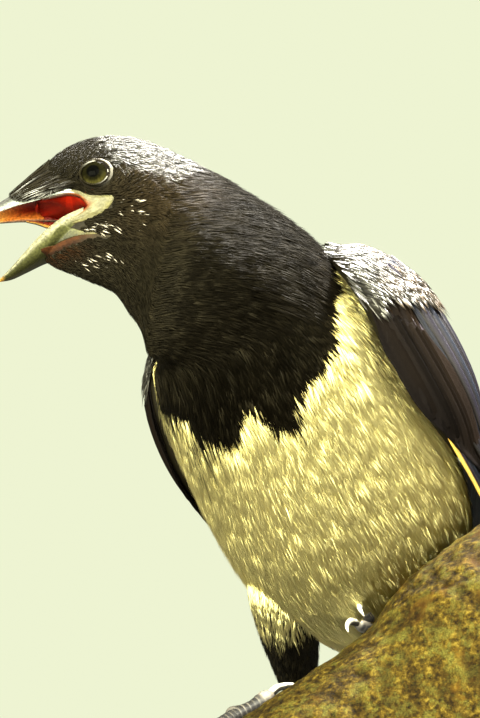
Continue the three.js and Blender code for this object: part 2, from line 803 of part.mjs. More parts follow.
// The claw's bow, as [shares of its length past the toe's end, height in toe radii]
const CLAW_BOW = [[-0.12, 1.1], [0.32, 1.6], [0.75, 1.2], [1, 0.3]];
const SHANK_SHARES = [0, 0.25, 0.6, 0.9, 1];
const SHANK_RADII = [2.7, 2, 1.8, 2.2, 2.6];
const THIGH_SHARES = [0, 0.3, 0.6, 0.85, 1];
const THIGH_RADII = [11, 11, 9.2, 6.9, 5];

// A toe with its claw, along the branch's surface from the foot, or a grown copy of it.
function toe({ foot, rise }, [degrees, length], margin) {
  const way = rad(degrees);
  const place = (distance, height) => {
    const angle = rad(foot[1]) + (Math.sin(way) * distance) / BRANCH_RADIUS;
    return onBranch(foot[0] - Math.cos(way) * distance, angle, height);
  };
  const toePath = [0, 0.3, 0.65, 1].map((t) =>
    place(length * t, GAP + TOE_RADIUS * lerp(1.3, 1.02, t) + rise * t * t),
  );
  const clawPath = CLAW_BOW.map(([share, height]) =>
    place(length + CLAW_LENGTH * share, GAP + TOE_RADIUS * height + rise),
  );
  return limb(toePath, TOE_PADS, 6, margin).add(limb(clawPath, CLAW_RADII, 5, margin));
}

// The bare shank from the foot's palm up to the ankle, or a grown copy of it.
function shank(leg, margin) {
  const palm = onBranch(leg.foot[0], rad(leg.foot[1]), GAP + PALM_HEIGHT);
  const ankle = V(...leg.ankle);
  const path = SHANK_SHARES.map((t) => palm.clone().lerp(ankle, t));
  return limb(path, SHANK_RADII, 8, margin);
}

function footShape(leg, margin) {
  return leg.toes.reduce((foot, row) => foot.add(toe(leg, row, margin)), shank(leg, margin));
}

const makeFoot = (leg) => largest(footShape(leg, 0).subtract(grownBranch));

// The feathered thigh, from inside the belly's outline down to the ankle.
function makeThigh(leg) {
  const hip = inTorso(...leg.hip);
  const ankle = V(...leg.ankle);
  const path = THIGH_SHARES.map((t) => hip.clone().lerp(ankle, t));
  const thigh = limb(path, THIGH_RADII, 12);
  return largest(thigh.subtract(grownBody).subtract(grownBranch).subtract(shank(leg, GAP)));
}

function makeTorso() {
  let torso = beyond(body, NECK_END, 1).subtract(grownBranch);
  for (const leg of Object.values(LEGS)) torso = torso.subtract(footShape(leg, GAP));
  return largest(torso);
}

// Stand: a round base and two rods up to the branch

const RODS = { low: -34, high: 62 }; // where each rod meets the branch, along it

function makeRod(at) {
  const top = onBranch(at, Math.PI, 0);
  const height = top.z + BRANCH_RADIUS - BASE_THICK - GAP;
  const geometry = new THREE.CylinderGeometry(ROD_RADIUS, ROD_RADIUS, height, 20);
  geometry.rotateX(Math.PI / 2);
  geometry.translate(top.x, top.y, BASE_THICK + GAP + height / 2);
  return solidOf(geometry).subtract(grownBranch);
}

function lowest(solid) {
  const bodies = solid.decompose();
  return bodies.sort((a, b) => a.boundingBox().min[2] - b.boundingBox().min[2])[0];
}

function makeBase() {
  const edge = 2; // the rounded rim
  const profile = [[0, 0], [BASE_RADIUS - edge, 0], [BASE_RADIUS, edge], [BASE_RADIUS, BASE_THICK - edge]];
  profile.push([BASE_RADIUS - edge, BASE_THICK], [0, BASE_THICK]);
  const geometry = new THREE.LatheGeometry(
    profile.map(([r, z]) => new THREE.Vector2(r, z)),
    36,
  );
  geometry.rotateX(Math.PI / 2);
  return solidOf(geometry);
}

// Assembly

const group = new THREE.Group();

// Each mesh is placed by its position and holds its shape round its own middle.
function addNode(name, solid, [colour, roughness, metalness]) {
  const material = new THREE.MeshStandardMaterial({ color: colour, roughness, metalness, flatShading: true });
  const geometry = geometryOf(solid);
  geometry.computeBoundingBox();
  const middle = geometry.boundingBox.getCenter(V());
  geometry.translate(-middle.x, -middle.y, -middle.z);
  const mesh = new THREE.Mesh(geometry, material);
  mesh.position.copy(middle);
  mesh.name = name;
  group.add(mesh);
}

addNode("head", makeHead(), COLOURS.black);
addNode("neck", makeNeck(), COLOURS.black);
addNode("torso", makeTorso(), COLOURS.white);
addNode("bill_upper", largest(billHalf(UPPER_BILL, 0)), COLOURS.bill);
addNode("bill_lower", largest(billHalf(LOWER_BILL, 0)), COLOURS.bill);
addNode("tongue", largest(tongue(0).subtract(billHalf(LOWER_BILL, GAP))), COLOURS.tongue);
for (const [name, side] of [["left", 1], ["right", -1]]) {
  addNode("eye_" + name, eyeball(side, 0), COLOURS.eye);
}
for (const [name, hold] of Object.entries(WING_HOLD)) {
  const wing = makeWing(hold).subtract(grownBody).subtract(grownBranch);
  addNode("wing_" + name, largest(wing), COLOURS.wing);
}
addNode("tail", largest(makeTail().subtract(grownBody).subtract(grownBranch)), COLOURS.tail);
for (const [name, leg] of Object.entries(LEGS)) {
  addNode("foot_" + name, makeFoot(leg), COLOURS.leg);
  addNode("thigh_" + name, makeThigh(leg), COLOURS.black);
}
addNode("perch", branch, COLOURS.bark);
addNode("stand_base", makeBase(), COLOURS.stand);
for (const [name, at] of Object.entries(RODS)) {
  addNode("stand_rod_" + name, lowest(makeRod(at)), COLOURS.rod);
}

export default group;
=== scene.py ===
"""A life-size young Eurasian magpie calling from a sloping cut branch, on a plain display stand.

The shapes are worked out in millimetres in the frame of the solids, and become metres in the scene.
The bird's body faces -Y and its left is +X.
"""
import math

import bpy
import numpy as np
from mathutils import Matrix, Vector
from mathutils.bvhtree import BVHTree
from mathutils.kdtree import KDTree


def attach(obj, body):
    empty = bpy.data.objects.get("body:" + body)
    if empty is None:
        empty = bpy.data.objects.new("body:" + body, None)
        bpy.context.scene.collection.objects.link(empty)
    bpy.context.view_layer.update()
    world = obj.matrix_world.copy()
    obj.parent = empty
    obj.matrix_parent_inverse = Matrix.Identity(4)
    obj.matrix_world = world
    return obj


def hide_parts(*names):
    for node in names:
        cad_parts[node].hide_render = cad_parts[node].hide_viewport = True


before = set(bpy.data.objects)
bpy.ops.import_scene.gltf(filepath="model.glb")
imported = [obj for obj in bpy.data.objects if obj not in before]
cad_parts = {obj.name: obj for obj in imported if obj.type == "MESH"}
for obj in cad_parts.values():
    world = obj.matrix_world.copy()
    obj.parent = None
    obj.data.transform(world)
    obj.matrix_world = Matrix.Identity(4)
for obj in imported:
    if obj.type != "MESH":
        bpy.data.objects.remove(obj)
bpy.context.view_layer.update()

MM = 0.001
PIECE_LIMIT = 190000  # triangles of one coat piece
TUFT_PATCH = 0.003  # size of one tuft on its bake map

# Small helpers


def normal_of(vectors):
    return vectors / np.maximum(np.linalg.norm(vectors, axis=-1, keepdims=True), 1e-9)


def smoothstep(x, low, high):
    t = np.clip((np.asarray(x, float) - low) / (high - low), 0, 1)
    return t * t * (3 - 2 * t)


def lerp(a, b, t):
    return a + (b - a) * t


def rgb(*colour):
    return np.array(colour)


def circle(count):
    """Angles spread evenly round a turn."""
    return np.linspace(0, 2 * np.pi, count, endpoint=False)


def round_spot(x, y, middle, size):
    """One in the middle of an oval spot, falling softly to nothing round it."""
    return np.exp(-(((x - middle[0]) / size[0]) ** 2) - ((y - middle[1]) / size[1]) ** 2)


def along(table, x):
    """Value of a table of (position, value) rows at x, smooth between the rows."""
    table = np.asarray(table, float)
    x = np.clip(np.asarray(x, float), table[0, 0], table[-1, 0])
    i = np.clip(np.searchsorted(table[:, 0], x, side="right") - 1, 0, len(table) - 2)
    before = table[np.maximum(i - 1, 0)]
    after = table[np.minimum(i + 2, len(table) - 1)]
    low, high = table[i], table[i + 1]
    span = high[..., 0] - low[..., 0]
    m0 = (high[..., 1] - before[..., 1]) / (high[..., 0] - before[..., 0]) * span
    m1 = (after[..., 1] - low[..., 1]) / (after[..., 0] - low[..., 0]) * span
    t = (x - low[..., 0]) / span
    rise = 3 * t**2 - 2 * t**3
    leaving, arriving = t - 2 * t**2 + t**3, t**3 - t**2
    return (1 - rise) * low[..., 1] + leaving * m0 + rise * high[..., 1] + arriving * m1


def smooth_rows(rows, steps):
    """Rows of a smooth curve through the given rows, with steps of them to each gap."""
    rows = np.asarray(rows, float)
    padded = np.vstack([2 * rows[0] - rows[1], rows, 2 * rows[-1] - rows[-2]])
    t = np.linspace(0, 1, steps, endpoint=False)[:, None]
    made = []
    for i in range(len(rows) - 1):
        a, b, c, d = padded[i : i + 4]
        square, cube = 2 * a - 5 * b + 4 * c - d, 3 * b - a - 3 * c + d
        made.append(0.5 * (2 * b + (c - a) * t + square * t**2 + cube * t**3))
    made.append(rows[-1:])
    return np.vstack(made)


# Stances, as in the solids


def turned(axis, degrees):
    return np.array(Matrix.Rotation(math.radians(degrees), 4, axis))


def stance(at, yaw, pitch, roll):
    place = turned("Z", -yaw) @ turned("Y", -roll) @ turned("X", -pitch)
    place[:3, 3] = at
    return place


def put(place, points):
    return np.asarray(points, float) @ place[:3, :3].T + place[:3, 3]


def local(place, points):
    return (np.asarray(points, float) - place[:3, 3]) @ place[:3, :3]


TORSO = stance((-6.6, -8.2, 266.5), 0, 48, 10)
HEAD = stance((-39.8, -76.6, 327.5), 59, -2, 2)
TAIL = TORSO @ np.array(Matrix.Translation((0, 80, 1))) @ turned("X", -14)


def in_head(left, forward, up):
    """Points measured left, forward and up from the middle between the eyes."""
    return put(HEAD, np.stack(np.broadcast_arrays(left, -np.asarray(forward, float), up), -1))


def head_place(points):
    """Left, forward and up of points, from the middle between the eyes."""
    p = local(HEAD, points)
    return p[..., 0], -p[..., 1], p[..., 2]


# The body's surface: a smooth run of egg-shaped sections


def section(centre, left, up, width, top, bottom):
    return np.concatenate([centre, left, up, [width, top, bottom]])


def head_section(top, bottom, width):
    crown, throat = in_head(0, *top), in_head(0, *bottom)
    half = np.linalg.norm(crown - throat) / 2
    return section((crown + throat) / 2, HEAD[:3, 0], normal_of(crown - throat), width, half, half)


def frame_section(place, back, width, top, bottom, up=0):
    return section(put(place, (0, back, up)), place[:3, 0], place[:3, 2], width, top, bottom)


# Crown point and throat point as (forward, up) of the eyes' middle, then half the width
HEAD_SECTIONS = [
    ((16.9, 8.6), (16, -22.6), 6.4),
    ((13.5, 12), (13, -24.6), 8.3),
    ((8.6, 15.5), (8, -26.8), 10.3),
    ((1.8, 17.9), (2, -29.6), 12.6),
    ((-6, 18.3), (-4.5, -33), 14.6),
    ((-14, 16.6), (-8.5, -39.5), 16.6),
    ((-22, 12.4), (-12, -45), 19.3),
    ((-30.5, 7.2), (-13.6, -52.5), 22.6),
]
FACE_END = [((18.9, -3), (18.7, -12), 1.6), ((18.1, 4.2), (17.8, -19), 4.2)]
# Distance back along the torso's axis, half width, height above and below the axis
TORSO_SECTIONS = [
    (-38, 34, 30, 35.5),
    (-24, 38, 33, 38),
    (-5, 39.5, 35, 40),
    (18, 40, 36, 41),
    (40, 38, 34, 38),
    (58, 30.5, 29, 28),
    (74, 20.5, 22, 16),
    (88, 13, 13.5, 9),
]
RUMP_END = [(18, 11.5, 7.5, 8.5), (32, 8.5, 4.2, 5.5), (46, 5, 2.2, 2.4)]  # the same, along the tail
NECK_COUNT = 6
NECK_PULL = 0.9
NAPE_DIP = 0.1


def neck_sections(start, end):
    def spin(row):
        left, up = row[3:6], row[6:9]
        return Matrix(np.stack([left, np.cross(up, left), up], 1).tolist()).to_quaternion()

    spin_a, spin_b = spin(start), spin(end)
    reach = np.linalg.norm(start[:3] - end[:3]) * NECK_PULL
    way_a = np.cross(start[6:9], start[3:6]) * reach
    way_b = np.cross(end[6:9], end[3:6]) * reach
    made = []
    for i in range(NECK_COUNT):
        t = (i + 1) / (NECK_COUNT + 1)
        rise = 3 * t**2 - 2 * t**3
        leaving, arriving = way_a * (t**3 - 2 * t**2 + t), way_b * (t**3 - t**2)
        centre = start[:3] * (1 - rise) + leaving + end[:3] * rise + arriving
        both = np.array(spin_a.slerp(spin_b, t).to_matrix())
        width = lerp(start[9], end[9], float(smoothstep(t, -0.3, 1.2)))
        top = lerp(start[10], end[10], t) * (1 - NAPE_DIP * math.sin(math.pi * t))
        made.append(section(centre, both[:, 0], both[:, 2], width, top, lerp(start[11], end[11], t)))
    return made


def refine(rows):
    rows = np.asarray(rows)
    at = lambda i: rows[min(max(i, 0), len(rows) - 1)]
    made = []
    for i in range(len(rows)):
        made.append(rows[i])
        if i < len(rows) - 1:
            made.append((9 * (at(i) + at(i + 1)) - at(i - 1) - at(i + 2)) / 16)
    return made


class Tube:
    """A surface with distance s along it and angle a round it, from its upper side towards its left."""

    STEPS = 10

    def __init__(self, rows):
        self.dense = smooth_rows(rows, self.STEPS)
        for axis in (slice(3, 6), slice(6, 9)):
            self.dense[:, axis] = normal_of(self.dense[:, axis])
        gaps = np.linalg.norm(np.diff(self.dense[:, :3], axis=0), axis=1)
        self.station = np.concatenate([[0], np.cumsum(gaps)])
        self.stops = self.station[:: self.STEPS]
        self.length = self.station[-1]

    def at(self, s, a, h=0.0):
        s, a, h = np.broadcast_arrays(s, a, h)
        row = np.stack([np.interp(s, self.station, column) for column in self.dense.T], -1)
        rise = np.cos(a)
        tall = np.maximum(np.where(rise > 0, row[..., 10], row[..., 11]) + h, 0.4)
        wide = np.maximum(row[..., 9] + h, 0.4)
        across = row[..., 3:6] * (wide * np.sin(a))[..., None]
        return row[..., :3] + across + row[..., 6:9] * (rise * tall)[..., None]

    def pace(self, s, a):
        """Millimetres of surface to one unit of s, and to one of a."""
        step, turn = 0.6, 0.03
        forward = np.linalg.norm(self.at(s + step, a) - self.at(s - step, a), axis=-1) / (2 * step)
        round_ = np.linalg.norm(self.at(s, a + turn) - self.at(s, a - turn), axis=-1) / (2 * turn)
        return np.maximum(forward, 0.15), np.maximum(round_, 1.0)

    def grid(self, rows, sides, depth):
        """Points of a closed skin inside the surface by a depth for each s, with their s and a."""
        s = np.linspace(0, self.length, rows)
        a = circle(sides)
        s, a = np.meshgrid(s, a, indexing="ij")
        return self.at(s, a, -depth(s)), s, a


head_rows = [head_section(*row) for row in HEAD_SECTIONS]
torso_rows = [frame_section(TORSO, *row) for row in TORSO_SECTIONS]
body_rows = (
    [head_section(*row) for row in FACE_END]
    + refine(head_rows)
    + neck_sections(head_rows[-1], torso_rows[0])
    + refine(torso_rows)
    + [frame_section(TAIL, *row) for row in RUMP_END]
)
BODY = Tube(body_rows)
FIRST_HEAD = len(FACE_END)
LAST_HEAD = FIRST_HEAD + 2 * len(HEAD_SECTIONS) - 2
FIRST_TORSO = LAST_HEAD + NECK_COUNT + 1
LAST_TORSO = FIRST_TORSO + 2 * len(TORSO_SECTIONS) - 2
FACE, EYES, CHEEK, NAPE = BODY.stops[[FIRST_HEAD, FIRST_HEAD + 7, FIRST_HEAD + 10, LAST_HEAD]]
THROAT, BREAST = BODY.stops[[LAST_HEAD + 4, FIRST_TORSO + 2]]
BELLY, RUMP, TAIL_ROOT = BODY.stops[[FIRST_TORSO + 7, FIRST_TORSO + 10, LAST_TORSO]]
STATIONS = [0, FACE, EYES, CHEEK, NAPE, THROAT, BREAST, BELLY, RUMP, TAIL_ROOT, BODY.length]


def by_station(*values):
    """A smooth value along the body from one at each named station."""
    return lambda s: np.interp(s, STATIONS, values)


COAT_DEPTH = by_station(0.3, 0.6, 0.9, 1.2, 1.8, 2.4, 2.8, 3.0, 2.4, 1.4, 0.5)

# Meshes


def grid_faces(rows, sides, ends=True):
    """Quads of a closed tube of rows times sides points, with a fan to one more point at each end."""
    i, k = np.meshgrid(np.arange(rows - 1) * sides, np.arange(sides), indexing="ij")
    nxt = (k + 1) % sides
    quads = np.stack([i + k, i + nxt, i + sides + nxt, i + sides + k], -1).reshape(-1, 4)
    if not ends:
        return [quads]
    k = np.arange(sides)
    nxt = (k + 1) % sides
    first = np.stack([np.full(sides, rows * sides), nxt, k], -1)
    base = (rows - 1) * sides
    last = np.stack([np.full(sides, rows * sides + 1), base + k, base + nxt], -1)
    return [quads, first, last]


def loft(rings):
    """Vertices and faces of a closed tube through rings of points."""
    rings = np.asarray(rings, float)
    rows, sides = rings.shape[:2]
    ends = [rings[0].mean(0), rings[-1].mean(0)]
    return np.vstack([rings.reshape(-1, 3), ends]), grid_faces(rows, sides)


def facing_out(verts, faces):
    """The faces, turned round if the closed mesh that they make is inside out."""
    volume = 0.0
    for block in faces:
        for k in range(1, block.shape[1] - 1):
            a, b, c = verts[block[:, 0]], verts[block[:, k]], verts[block[:, k + 1]]
            volume += float((a * np.cross(b, c)).sum())
    return faces if volume > 0 else [block[:, ::-1] for block in faces]


def solid(rings):
    """Vertices and outward faces of a closed tube through rings of points."""
    verts, faces = loft(rings)
    return verts, facing_out(verts, faces)


def sheet(top, under):
    """Vertices and outward faces of a closed sheet between two grids of points."""
    rows, columns = top.shape[:2]
    count = rows * columns
    verts = np.vstack([top.reshape(-1, 3), under.reshape(-1, 3)])
    i, k = np.meshgrid(np.arange(rows - 1) * columns, np.arange(columns - 1), indexing="ij")
    first = i + k
    quads = np.stack([first, first + 1, first + 1 + columns, first + columns], -1).reshape(-1, 4)
    rim = np.concatenate([
        np.arange(columns - 1),
        np.arange(rows - 1) * columns + columns - 1,
        (rows - 1) * columns + np.arange(columns - 1, 0, -1),
        np.arange(rows - 1, 0, -1) * columns,
    ])
    nxt = np.roll(rim, -1)
    wall = np.stack([nxt, rim, rim + count, nxt + count], -1)
    return verts, facing_out(verts - verts.mean(0), [quads, (quads + count)[:, ::-1], wall])


def make_mesh(name, verts, faces, tint=None, maps=None):
    """A mesh from points in millimetres and blocks of faces, with colours and 2-D places for the points."""
    mesh = bpy.data.meshes.new(name)
    blocks = [np.asarray(block, np.int32) for block in faces]
    corners = np.concatenate([block.ravel() for block in blocks])
    sizes = np.concatenate([np.full(len(block), block.shape[1], np.int32) for block in blocks])
    mesh.vertices.add(len(verts))
    mesh.vertices.foreach_set("co", (np.asarray(verts) * MM).astype(np.float32).ravel())
    mesh.loops.add(len(corners))
    mesh.loops.foreach_set("vertex_index", corners)
    mesh.polygons.add(len(sizes))
    mesh.polygons.foreach_set("loop_start", np.concatenate([[0], np.cumsum(sizes)[:-1]]).astype(np.int32))
    mesh.polygons.foreach_set("use_smooth", np.ones(len(sizes), bool))
    mesh.update(calc_edges=True)
    if tint is not None:
        set_tint(mesh, tint)
    for map_name, places in (maps or {}).items():
        layer = mesh.uv_layers.new(name=map_name)
        layer.data.foreach_set("uv", np.asarray(places, np.float32)[corners].ravel())
    return mesh


def set_tint(mesh, tint):
    colour = np.ones((len(mesh.vertices), 4), np.float32)
    colour[:, :3] = tint
    mesh.color_attributes.new("tint", "FLOAT_COLOR", "POINT").data.foreach_set("color", colour.ravel())


def add_piece(name, mesh, slot, *nodes, materials=()):
    piece = bpy.data.objects.new(name, mesh)
    bpy.context.scene.collection.objects.link(piece)
    for material in materials:
        mesh.materials.append(material)
    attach(piece, "root")
    if nodes:
        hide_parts(*nodes)
    return piece


def joined(parts):
    """One set of vertices, faces and colours from several."""
    verts, faces, tints, start = [], [], [], 0
    for part_verts, part_faces, tint in parts:
        verts.append(part_verts)
        faces.extend(block + start for block in part_faces)
        tints.append(np.broadcast_to(tint, part_verts.shape))
        start += len(part_verts)
    return np.vstack(verts), faces, np.vstack(tints)


# Materials


class Finish:
    """A material in the making. Its parts are nodes, and sockets of nodes stand for their values."""

    def __init__(self, name):
        self.material = bpy.data.materials.new(name)
        self.material.use_nodes = True
        self.nodes = self.material.node_tree.nodes
        self.shader = self.nodes["Principled BSDF"]

    def feed(self, socket, value):
        """Joins a socket to another, or sets it to a number, a vector or a colour."""
        if isinstance(value, bpy.types.NodeSocket):
            self.material.node_tree.links.new(value, socket)
        elif isinstance(value, tuple) and socket.type == "RGBA":
            socket.default_value = (*value, 1)
        else:
            socket.default_value = value

    def feed_all(self, node, values):
        for name, value in values.items():
            self.feed(node.inputs[name.replace("_", " ")], value)
        return node

    def node(self, kind, **values):
        return self.feed_all(self.nodes.new(kind), values)

    def set(self, **values):
        self.feed_all(self.shader, values)

    def noise(self, scale, detail=4.0, stretch=(1, 1, 1), roughness=0.55):
        """Noise over the object's own place in space."""
        where = self.node("ShaderNodeTexCoord").outputs["Object"]
        place = self.node("ShaderNodeMapping", Vector=where, Scale=stretch).outputs["Vector"]
        made = self.node("ShaderNodeTexNoise", Vector=place, Scale=scale, Detail=detail)
        return self.feed_all(made, {"Roughness": roughness}).outputs["Fac"]

    def ramp(self, value, *stops):
        """Colours over a value. Each stop is a position, and a colour or a grey."""
        made = self.node("ShaderNodeValToRGB", Fac=value)
        while len(made.color_ramp.elements) < len(stops):
            made.color_ramp.elements.new(0.5)
        for element, (position, colour) in zip(made.color_ramp.elements, stops):
            element.position = position
            element.color = (*colour, 1) if isinstance(colour, tuple) else (colour, colour, colour, 1)
        return made.outputs["Color"]

    def blend(self, kind, factor, a, b):
        made = self.nodes.new("ShaderNodeMix")
        made.data_type = "RGBA"
        made.blend_type = kind
        return self.feed_all(made, {"Factor": factor, "A": a, "B": b}).outputs["Result"]

    def to_range(self, value, low, high):
        return self.node("ShaderNodeMapRange", Value=value, To_Min=low, To_Max=high).outputs["Result"]

    def math(self, operation, *values):
        made = self.nodes.new("ShaderNodeMath")
        made.operation = operation
        for socket, value in zip(made.inputs, values):
            self.feed(socket, value)
        return made.outputs["Value"]

    def bump(self, height, strength, distance):
        made = self.node("ShaderNodeBump", Height=height, Strength=strength, Distance=distance)
        self.set(Normal=made.outputs["Normal"])

    def tint(self):
        """The colour that the mesh brings along."""
        made = self.nodes.new("ShaderNodeVertexColor")
        made.layer_name = "tint"
        return made.outputs["Color"]


def tinted(name, rough, mottle, grain, bumps, shine=0.5):
    """A finish whose colour comes from the mesh, mottled by noise, with a grain of its own."""
    made = Finish(name)
    scale, dark, light = mottle
    shades = made.ramp(made.noise(scale), (0.25, dark), (0.75, light))
    fine = made.noise(*grain)
    made.set(Base_Color=made.blend("MULTIPLY", 1.0, made.tint(), shades))
    made.set(Roughness=made.to_range(fine, *rough), Specular_IOR_Level=shine)
    made.bump(fine, *bumps)
    return made.material


BARB_SLANT = -1.6  # how far a barb runs towards the tip for each step from the shaft


def vane_finish(name, metal, shine, rough):
    """Flight feathers: barbs as fine slanted ridges either side of the shaft, and a changing gloss."""
    made = Finish(name)
    place = made.nodes.new("ShaderNodeUVMap")
    place.uv_map = "barbs"
    split = made.node("ShaderNodeSeparateXYZ", Vector=place.outputs["UV"])
    side = made.math("ABSOLUTE", split.outputs["Y"])
    slant = made.math("MULTIPLY_ADD", side, BARB_SLANT, split.outputs["X"])
    join = made.node("ShaderNodeCombineXYZ", X=slant).outputs["Vector"]
    barbs = made.node("ShaderNodeTexWave", Vector=join, Scale=1.1, Distortion=1.5, Detail_Scale=0.6)
    lines = barbs.outputs["Fac"]
    patches = made.noise(55, 5.0)
    shade = made.blend("MULTIPLY", 0.8, made.tint(), made.ramp(lines, (0.1, 0.62), (0.8, 1.25)))
    mottled = made.ramp(patches, (0.3, (0.6, 0.62, 0.7)), (0.7, (1.35, 1.25, 1.1)))
    made.set(Base_Color=made.blend("MULTIPLY", 0.7, shade, mottled))
    made.set(Roughness=made.to_range(patches, rough, rough + 0.15))
    made.set(Metallic=metal, Specular_IOR_Level=shine)
    made.bump(lines, 0.5, 0.00012)
    return made.material


def bark_finish():
    """Furrowed bark with patches of grey lichen and of rust."""
    made = Finish("bark")
    rough = {"roughness": 0.7}
    coarse, fine = made.noise(560, 6.0, **rough), made.noise(1900, 4.0, **rough)
    wood = made.ramp(
        coarse,
        (0.34, (0.005, 0.0032, 0.0006)),
        (0.45, (0.026, 0.0165, 0.002)),
        (0.54, (0.058, 0.038, 0.004)),
        (0.68, (0.15, 0.11, 0.018)),
    )
    grey = made.ramp(fine, (0.34, (0.022, 0.022, 0.003)), (0.66, (0.115, 0.108, 0.022)))
    lichen = made.ramp(made.noise(210, 7.0, roughness=0.75), (0.5, 0.0), (0.6, 0.8))
    rust = made.ramp(made.noise(75, 4.0, roughness=0.6), (0.58, 0.0), (0.66, 0.6))
    shade = made.blend("MIX", lichen, wood, grey)
    shade = made.blend("MIX", rust, shade, (0.09, 0.044, 0.004))
    made.set(Base_Color=made.blend("MULTIPLY", 1.0, shade, made.tint()))
    made.set(Roughness=made.to_range(fine, 0.75, 0.95), Specular_IOR_Level=0.1)
    made.bump(made.blend("MIX", 0.45, coarse, fine), 1.0, 0.0009)
    return made.material


def cut_wood_finish():
    made = Finish("cut_wood")
    grain = made.noise(260, 6.0)
    shades = made.ramp(grain, (0.3, 0.75), (0.7, 1.1))
    made.set(Base_Color=made.blend("MULTIPLY", 1.0, made.tint(), shades), Roughness=0.8)
    made.bump(grain, 0.4, 0.0004)
    return made.material


def turned_wood_finish():
    made = Finish("stand_wood")
    rings = made.noise(16, 6.0, (1, 9, 1), 0.5)
    pores = made.noise(300, 3.0, (1, 14, 1), 0.6)
    board = made.ramp(
        rings, (0.25, (0.06, 0.028, 0.011)), (0.5, (0.12, 0.062, 0.026)), (0.75, (0.17, 0.095, 0.043))
    )
    dark = made.ramp(pores, (0.32, 0.55), (0.45, 1.0))
    made.set(Base_Color=made.blend("MULTIPLY", 0.8, board, dark))
    made.set(Roughness=made.to_range(pores, 0.45, 0.6), Specular_IOR_Level=0.12)
    made.bump(pores, 0.25, 0.0002)
    return made.material


def steel_finish():
    made = Finish("stand_steel")
    brushed = made.noise(420, 3.0, (1, 1, 0.05))
    made.set(Base_Color=made.ramp(brushed, (0.3, (0.36, 0.36, 0.37)), (0.7, (0.56, 0.56, 0.57))))
    made.set(Roughness=made.to_range(brushed, 0.26, 0.42), Metallic=1.0)
    made.bump(brushed, 0.12, 0.0001)
    return made.material


def floor_finish():
    made = Finish("floor")
    soft = made.ramp(made.noise(3.0), (0.3, (0.1, 0.098, 0.076)), (0.7, (0.13, 0.127, 0.1)))
    made.set(Base_Color=soft, Roughness=0.7, Specular_IOR_Level=0.0)
    return made.material


# Roughness from and to, mottling as scale, dark and light, grain as scale and detail, bump, gloss
BLACK_COAT = tinted("black_coat", (0.4, 0.58), (140, 0.7, 1.35), (2600, 3.0), (0.2, 0.0001), 0.025)
HEAD_COAT = tinted("head_coat", (0.4, 0.5), (170, 0.75, 1.3), (2600, 3.0), (0.1, 0.0001), 0.9)
WHITE_COAT = tinted("white_coat", (0.6, 0.85), (110, 0.92, 1.05), (2200, 3.0), (0.2, 0.00012), 0.2)
SKIN = tinted("skin", (0.6, 0.85), (420, 0.6, 1.3), (1500, 4.0), (0.6, 0.0003), 0.12)
MOUTH = tinted("mouth_flesh", (0.35, 0.55), (210, 0.75, 1.25), (1500, 5.0), (0.3, 0.0003), 0.03)
HORN = tinted("horn", (0.3, 0.5), (1300, 0.45, 1.9), (1700, 5.0), (0.3, 0.0002), 0.15)
LID = tinted("lid_skin", (0.4, 0.6), (500, 0.7, 1.2), (3200, 4.0), (0.5, 0.0002), 0.01)
EYEBALL = tinted("eyeball", (0.04, 0.08), (900, 0.7, 1.4), (2600, 5.0), (0.02, 0.00002), 0.005)
GAPE_FLESH = tinted("gape_flesh", (0.3, 0.5), (520, 0.5, 1.25), (1300, 5.0), (0.7, 0.0005), 0.25)
SCUTES = tinted("scutes", (0.34, 0.55), (420, 0.75, 1.25), (1900, 5.0), (0.4, 0.00018))
WING_VANES = vane_finish("wing_vanes", 0.04, 0.2, 0.3)
MATTE_VANES = vane_finish("matte_vanes", 0, 0.01, 0.6)
TAIL_VANES = vane_finish("tail_vanes", 0.35, 0.2, 0.26)
BARK = bark_finish()
CUT_WOOD = cut_wood_finish()

# Colours
INK = rgb(0.0088, 0.0074, 0.0044)
BROWN = rgb(0.052, 0.032, 0.015)
# White plumage tinted cream-yellow as painted yellow light; CREAM_DEEP is darker and yellower still, painted
# shade deep in the coat.
CREAM = rgb(0.9, 0.83, 0.4)
CREAM_DEEP = rgb(0.82, 0.7, 0.25)
# Glint colour painted on the tips of small head feathers.
GLINT_TIP = rgb(0.55, 0.5, 0.42)
GREY = rgb(0.36, 0.34, 0.28)
ORANGE_SKIN = rgb(0.036, 0.0105, 0.0015)
GULLET = rgb(0.13, 0.0045, 0.001)  # deep inside the mouth
PALATE_EDGE = rgb(0.36, 0.1, 0.014)
HORN_SIDE = rgb(0.045, 0.047, 0.016)  # the lower bill's upper half
HORN_LOW = rgb(0.009, 0.0095, 0.002)

# Tufts: feathers made of tapered locks

# Rings of a lock by their number: shares of its length, and widths
LOCK_SHAPES = {3: ((0.0, 0.38, 0.74), (0.7, 1.35, 0.8)), 2: ((0.0, 0.5), (0.8, 1.25))}


